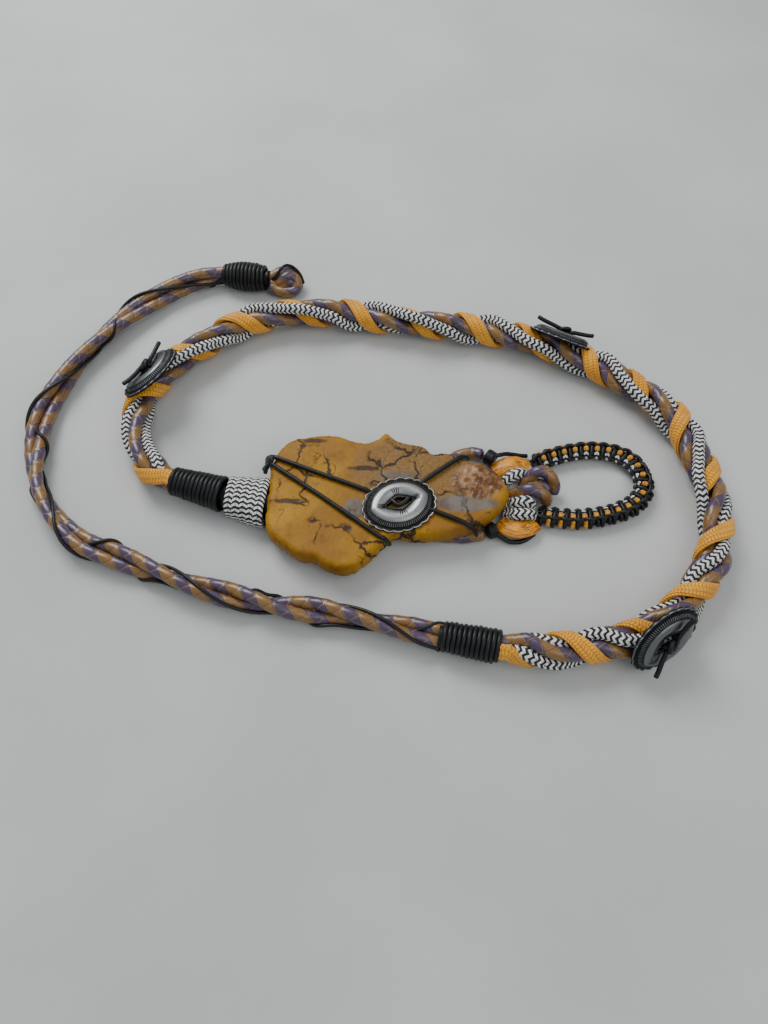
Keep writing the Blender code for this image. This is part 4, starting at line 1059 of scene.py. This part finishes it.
def make_conchos(stations, path, strands, rope_height):
    """The stone's concho, and the three tied on the rope's outer side."""
    make_concho("stone_concho", (*STONE_CONCHO_PLACE, STONE_TOP + 0.1),
                facing_frame(STONE_CONCHO_HEADING, 0.0), 0.0, BRIGHT_SILVER)
    normals = left_normals(path)
    heads = np.gradient(path, axis=0)
    for side, (station, lean, slide, sink, turn, swing) in ROPE_CONCHOS.items():
        i = int(np.argmin(np.abs(stations - station)))
        heading = math.degrees(math.atan2(heads[i][1], heads[i][0]))
        along, across, out = facing_frame(heading, lean)
        start = np.array([*path[i], rope_height])
        seat = 0.0
        for item in strands.values():
            under = on_table(path, item["place"], rope_height) - start
            u = under @ along / (0.5 * CONCHO_LENGTH)
            v = (under @ across - slide) / (0.5 * CONCHO_WIDTH)
            near = u * u + v * v < 1.0
            if near.any():
                seat = max(seat, float((under[near] @ out).max()) + item["half_thickness"])
        middle = start + out * (seat - sink) + across * slide
        make_concho("rope_concho_" + side, middle, (along, across, out), turn, DARK_SILVER)
        make_tie("concho_tie_" + side, middle, along, across, out, swing + turn)


def make_lacing():
    """Black cord laid over the stone from its edges to the concho."""
    top = STONE_TOP + 0.5 * BLACK_CORD_DIA + 0.15
    edge = top - 2.2
    runs = {
        "lacing_left_upper": [(-52.6, 20.4, edge - 5.5), (-51.2, 20.2, edge - 2.4), (-49.0, 19.5, top - 0.7),
                              (-45.0, 17.9, top), (-30.0, 11.6, top), (-10.6, 3.6, top),
                              (-5.5, 1.4, top - 0.5)],
        "lacing_left_lower": [(-53.6, 17.2, edge - 5.5), (-52.0, 16.8, edge - 2.0), (-49.2, 15.7, top - 0.5),
                              (-45.0, 12.6, top), (-24.0, -2.8, top), (-3.0, -19.0, top),
                              (-0.2, -20.6, top - 0.4), (1.6, -20.9, edge - 1.8), (2.4, -20.4, edge - 4.6)],
        "lacing_right_upper": [(15.0, 5.4, top - 0.4), (19.6, 9.0, top), (29.0, 16.0, top),
                               (33.6, 19.4, top - 0.5), (36.4, 21.4, edge - 1.5), (37.4, 22.2, edge - 5.0)],
        "lacing_right_lower": [(17.4, -6.4, top - 0.4), (21.6, -8.0, top), (33.0, -13.2, top),
                               (37.6, -15.6, edge - 0.2), (39.2, -16.6, edge - 4.0)],
    }
    for name, points in runs.items():
        lay(name, points, BLACK_CORD_DIA, BLACK, name, sides=16)
    knot = [(-52.4, 21.6, edge - 5.0), (-51.4, 21.2, edge - 1.8), (-48.9, 19.0, top + 0.2),
            (-49.4, 16.6, top + 0.1), (-51.8, 15.6, edge - 1.6), (-52.8, 15.2, edge - 5.0)]
    lay("lacing_left_turn", knot, BLACK_CORD_DIA, BLACK, sides=16)
    cross = [(1.4, -1.4, top - 0.6), (3.4, -3.4, top + 1.2), (5.8, -5.8, top + 1.5), (8.6, -4.6, top + 1.5),
             (10.6, -2.2, top + 1.2), (11.8, -0.6, top - 0.6)]
    lay("concho_cross", cross, BLACK_CORD_DIA, BLACK, sides=16)


# Wrap of patterned cord, bindings, end cords and the loop

def make_band():
    """Patterned cord wound side by side between the left wrap and the stone."""
    start = np.array(BAND_START)
    end = np.array(BAND_END)
    length, along, across, up = axis_frame(start, end)
    pitch = length / BAND_TURNS
    t = np.linspace(0.0, 1.0, BAND_TURNS * 90 + 1)
    turn = 2 * math.pi * BAND_TURNS * t - 0.5 * math.pi
    wide = 7.6 + 3.0 * t
    tall = 6.9 - 0.6 * t
    cx = rounder(np.cos(turn), 0.85)
    cz = rounder(np.sin(turn), 0.85)
    place = 0.5 * pitch + (length - pitch) * t
    middle = start + along * place[:, None]
    middle[:, 2] = tall + 0.9
    outward = across * (wide * cx)[:, None] + up * (tall * cz)[:, None]
    thing = flat_cord("patterned_wrap", middle + outward, unit(outward), pitch * 1.04, BAND_THICKNESS,
                      WIDE_PATTERN, 24, 0)
    dress(thing, "patterned_wrap")
    core("patterned_wrap", tuple(start - [0, 0, 0.6]), tuple(end), 11.0, step=1.0, sides=24)


def make_bindings():
    """Cords that come out from behind the stone's right end and run into the loop."""
    low = 0.5 * LEATHER_DIA
    leather_runs = {
        "back_cord_upper": [(-50.2, 6.0, low), (-20.0, 12.0, low), (10.0, 18.0, low),
                            (28.0, 24.2, low), (35.0, 28.2, low), (40.5, 28.9, low + 0.8),
                            (45.2, 26.9, low + 2.2)],
        "back_cord_lower": [(-52.2, -6.0, low), (-20.0, -9.0, low), (10.0, -12.0, low),
                            (28.0, -13.6, low), (36.0, -13.8, low), (43.4, -12.6, low + 0.8)],
        "leather_end_upper": [(61.6, 10.0, 2.9), (64.3, 12.5, 7.5), (67.0, 14.2, 10.2),
                              (70.5, 14.2, 10.8), (74.0, 12.0, 9.0), (75.5, 9.5, 5.5),
                              (74.8, 7.8, 2.9)],
        "leather_end_fill": [(62.0, 8.6, 4.2), (66.0, 10.4, 6.2), (70.6, 9.8, 6.0), (72.4, 7.4, 4.2)],
        "leather_end_lower": [(55.0, 6.6, 2.9), (58.6, 6.2, 5.8), (62.2, 5.8, 9.4),
                              (66.0, 5.0, 10.4), (69.5, 3.4, 9.0), (71.4, 3.2, 6.0),
                              (71.2, 3.0, 2.9)],
    }
    make_leather_runs(leather_runs)
    patterned_runs = {
        "patterned_end_upper": [(52.4, 11.6, 2.8), (55.6, 13.2, 6.6), (58.8, 14.9, 7.8), (61.6, 15.8, 6.4),
                                (63.0, 15.8, 3.6)],
        "patterned_end_lower_a": [(52.4, 1.8, 2.8), (55.8, 1.6, 4.6), (57.8, 0.6, 7.0),
                                  (60.6, 0.6, 8.5), (62.8, 0.3, 8.1), (64.8, 0.0, 5.0)],
        "patterned_end_lower_b": [(52.6, -3.0, 2.8), (55.6, -3.8, 4.8), (58.0, -4.8, 6.6),
                                  (60.8, -5.0, 7.2), (63.4, -4.6, 6.2), (65.2, -4.0, 3.4)],
    }
    for name, points in patterned_runs.items():
        lay(name, points, END_CORD_DIA, KNOB_PATTERN, name, sides=22, relief=woven_relief)
    silk_runs = {
        "orange_end_upper": [(50.2, 18.8, 3.0), (53.0, 20.2, 4.6), (57.0, 21.4, 5.6), (61.0, 21.4, 5.0),
                             (64.6, 19.8, 3.4)],
        "orange_end_lower": [(50.6, -7.6, 2.8), (54.0, -10.2, 4.2), (58.4, -11.4, 4.8), (62.4, -10.0, 4.2),
                             (65.4, -7.6, 3.0)],
    }
    for name, points in silk_runs.items():
        route = smooth_path(points, 0.6)[1]
        facing = np.tile(np.array([0.0, 0.0, 1.0]), (len(route), 1))
        dress(flat_cord(name, route, facing, SILK_WIDTH, SILK_THICKNESS, SILK, 40, 9), name)
    black_runs = {
        "black_end_upper": [(48.6, 24.4, 7.6), (52.6, 25.4, 7.4), (55.4, 26.8, 6.0), (59.0, 27.6, 4.2),
                            (63.0, 28.0, 2.6), (66.0, 28.6, 1.6)],
        "black_end_lower": [(47.4, -12.4, 5.0), (50.4, -14.2, 3.6), (54.6, -15.8, 1.8), (60.2, -15.2, 1.5),
                            (65.6, -11.6, 1.5)],
    }
    for name, points in black_runs.items():
        lay(name, points, BLACK_CORD_DIA, BLACK, name, sides=16)
    for name, (ends, heights) in BINDINGS.items():
        coil(name, ends, heights, (3.6, 3.7, 3.6), 1.3, 4, jitter=0.06)
        core(name, (*ends[0], heights[0]), (*ends[1], heights[1]), 5.2)


def make_leather_runs(runs):
    """Leather cords, each in place of its solid but for a fill, which has none."""
    for name, points in runs.items():
        nodes = [] if name.endswith("fill") else [name]
        lay(name, points, LEATHER_DIA, LEATHER, *nodes, step=LEATHER_STEP, **BRAIDED)


def make_end_knot():
    """The knot of leather cord beyond the tail wrap, with a black cord over it."""
    half = 0.5 * LEATHER_DIA
    runs = {
        "end_knot": [(-61.0, 136.8, half + 3.2), (-57.8, 137.6, half + 3.6), (-54.0, 139.2, half + 5.0),
                     (-50.0, 139.8, half + 4.6), (-46.4, 138.0, half + 2.6), (-45.0, 134.0, half + 1.4),
                     (-46.8, 130.2, half + 0.8), (-51.0, 129.2, half + 0.6), (-55.0, 130.0, half + 0.8),
                     (-60.0, 132.0, half + 1.8)],
        "end_knot_core": [(-60.4, 133.6, half + 2.2), (-56.0, 133.4, half + 2.0), (-52.0, 134.2, half + 5.2),
                          (-48.6, 135.6, half + 5.6), (-45.8, 134.0, half + 3.6), (-45.6, 131.0, half + 1.0)],
        "end_knot_fill": [(-60.0, 133.0, half + 1.0), (-55.0, 132.6, half + 1.4), (-51.0, 132.8, half + 2.4),
                          (-48.4, 133.6, half + 3.4), (-47.0, 136.2, half + 3.0)],
    }
    make_leather_runs(runs)
    over = [(-58.0, 133.6, 7.4), (-55.4, 134.8, 10.0), (-53.0, 137.0, 12.4), (-50.2, 139.6, 12.0),
            (-46.8, 140.2, 9.6), (-43.6, 137.6, 7.2), (-41.9, 134.0, 4.6)]
    lay("end_knot_lace", over, LACE_DIA, BLACK, sides=14)


def make_loop():
    """The knotted loop: a core band, knots with ears on its inner edge, a chain near its outer one."""
    stations, path = smooth_path(LOOP_ROUTE, 0.35)
    outward = left_normals(path)
    flat = np.column_stack([path, np.full(len(path), LOOP_LEVEL)])
    side = np.column_stack([outward, np.zeros(len(path))])
    turn = 2 * math.pi * np.arange(28) / 28
    ring = (side[:, None, :] * (LOOP_CORE_HALF_WIDTH * np.cos(turn))[None, :, None]
            + np.array([0.0, 0.0, 1.0]) * (LOOP_CORE_HALF_HEIGHT * np.sin(turn))[None, :, None])
    dress(grid_mesh("knotted_loop", flat[:, None, :] + ring, BLACK, uv=(np.arange(29) / 28, stations)),
          "knotted_loop")
    pitch = stations[-1] / LOOP_KNOTS

    def bit(kind, k, station, dia, finish, rows, sides=12):
        """A short cord through rows of distance along, distance outward and rise."""
        points = []
        for along, across, rise in rows:
            s = station + along
            x, y = [np.interp(s, stations, path[:, axis])
                    + np.interp(s, stations, outward[:, axis]) * 0.8 * across for axis in range(2)]
            points.append((x, y, LOOP_LEVEL + 0.85 * rise))
        lay("loop_%s_%02d" % (kind, k), points, dia, finish, step=0.4, sides=sides)

    for k in range(LOOP_KNOTS):
        s = (k + 0.5) * pitch
        sway = rng.normal(0.0, 0.12, 4)
        bit("knot", k, s, 1.8, BLACK, [
            (-0.6, -4.2 + sway[0], -1.4), (-0.7, -5.0 + sway[0], 0.2), (-0.4, -4.3, 2.0),
            (0.0, -2.0, 2.9 + sway[1]), (0.4, 0.6, 3.0), (0.7, 3.0, 2.3),
            (0.7, 4.4 + sway[2], 0.4), (0.5, 3.6, -1.5)])
        bit("ear", k, s, 1.55, BLACK, [
            (-1.5, -3.4, 1.0), (-1.5, -5.0, 1.7), (-0.2, -6.0 + sway[3], 1.5), (1.1, -5.2, 1.2),
            (1.4, -3.6, 0.6)])
        bit("chain", k, s, 1.6, BLACK, [
            (-3.1, 0.2, 2.8), (-1.6, 1.6, 4.0), (0.8, 1.9, 4.4), (2.9, 0.6, 3.4)])
    for k in range(LOOP_KNOTS - 1):
        s = (k + 1.0) * pitch
        bit("pale", k, s, 2.3, FINE_PATTERN, [
            (-0.2, -3.9, -0.9), (-0.3, -4.6, 0.4), (-0.2, -3.6, 2.2), (0.0, -2.4, 2.9)], 14)
        bit("orange", k, s, 2.3, ORANGE, [
            (0.0, -2.2, 2.6), (0.0, -1.2, 3.1), (0.1, -0.2, 3.0), (0.1, 0.6, 2.6)], 14)
        bit("inner", k, s, 1.9, ORANGE if k < 9 or k > 17 else BLACK, [
            (-0.1, 0.6, 2.4), (0.0, 2.2, 2.5), (0.1, 3.7, 1.4), (0.1, 4.1, -0.4)])


# Stage, camera and light

def make_stage():
    bm = bmesh.new()
    half = 2.4
    for x, y in ((-half, -half), (half, -half), (half, half), (-half, half)):
        bm.verts.new((x, y, 0.0))
    bm.faces.new(bm.verts)
    mesh = bpy.data.meshes.new("table_top")
    bm.to_mesh(mesh)
    bm.free()
    mesh.materials.append(table_finish())
    floor = bpy.data.objects.new("table_top", mesh)
    bpy.context.scene.collection.objects.link(floor)


def make_camera():
    data = bpy.data.cameras.new("camera")
    data.lens = CAMERA_LENS
    data.sensor_width = 36.0
    camera = bpy.data.objects.new("camera", data)
    camera.location = (np.array(CAMERA_PLACE) - MIDDLE) * MM
    camera.rotation_euler = (math.radians(CAMERA_PITCH), 0.0, 0.0)
    bpy.context.scene.collection.objects.link(camera)
    bpy.context.scene.camera = camera


# Name, place in metres, size in metres, power, colour
LIGHTS = [
    ("window", (-0.35, 0.55, 0.75), 0.5, 7.5, (1.0, 1.0, 1.0)),
    ("fill", (0.5, -0.4, 0.9), 0.8, 3.0, (1.0, 0.98, 0.95))]


def area_light(name, place, size, power, colour):
    """A soft light that faces the middle of the belt."""
    data = bpy.data.lights.new(name, "AREA")
    data.size = size
    data.energy = power
    data.color = colour
    lamp = bpy.data.objects.new(name, data)
    lamp.location = place
    lamp.rotation_euler = (-Vector(place)).to_track_quat("-Z", "Y").to_euler()
    bpy.context.scene.collection.objects.link(lamp)


def make_light():
    world = bpy.data.worlds.new("soft_room")
    world.use_nodes = True
    sky = world.node_tree.nodes["Background"]
    sky.inputs[0].default_value = (0.90, 0.95, 1.0, 1.0)
    sky.inputs[1].default_value = 0.55
    bpy.context.scene.world = world
    for name, place, size, power, colour in LIGHTS:
        area_light(name, place, size, power, colour)


make_camera()
make_light()
make_stage()
rope_stations, rope_path, rope_lay, rope_height = make_rope()
make_tail()
make_wraps()
make_band()
make_stone()
make_conchos(rope_stations, rope_path, rope_lay, rope_height)
make_lacing()
make_bindings()
make_end_knot()
make_loop()

for name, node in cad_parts.items():
    node.data.materials.clear()
    finish = BLACK
    if "concho" in name and "tie" not in name:
        finish = DARK_SILVER
    if "orange" in name:
        finish = SILK
    if name.startswith("patterned"):
        finish = PATTERNED
    if "leather" in name or name.startswith("back_cord") or name.startswith("end_knot"):
        finish = LEATHER
    node.data.materials.append(finish)
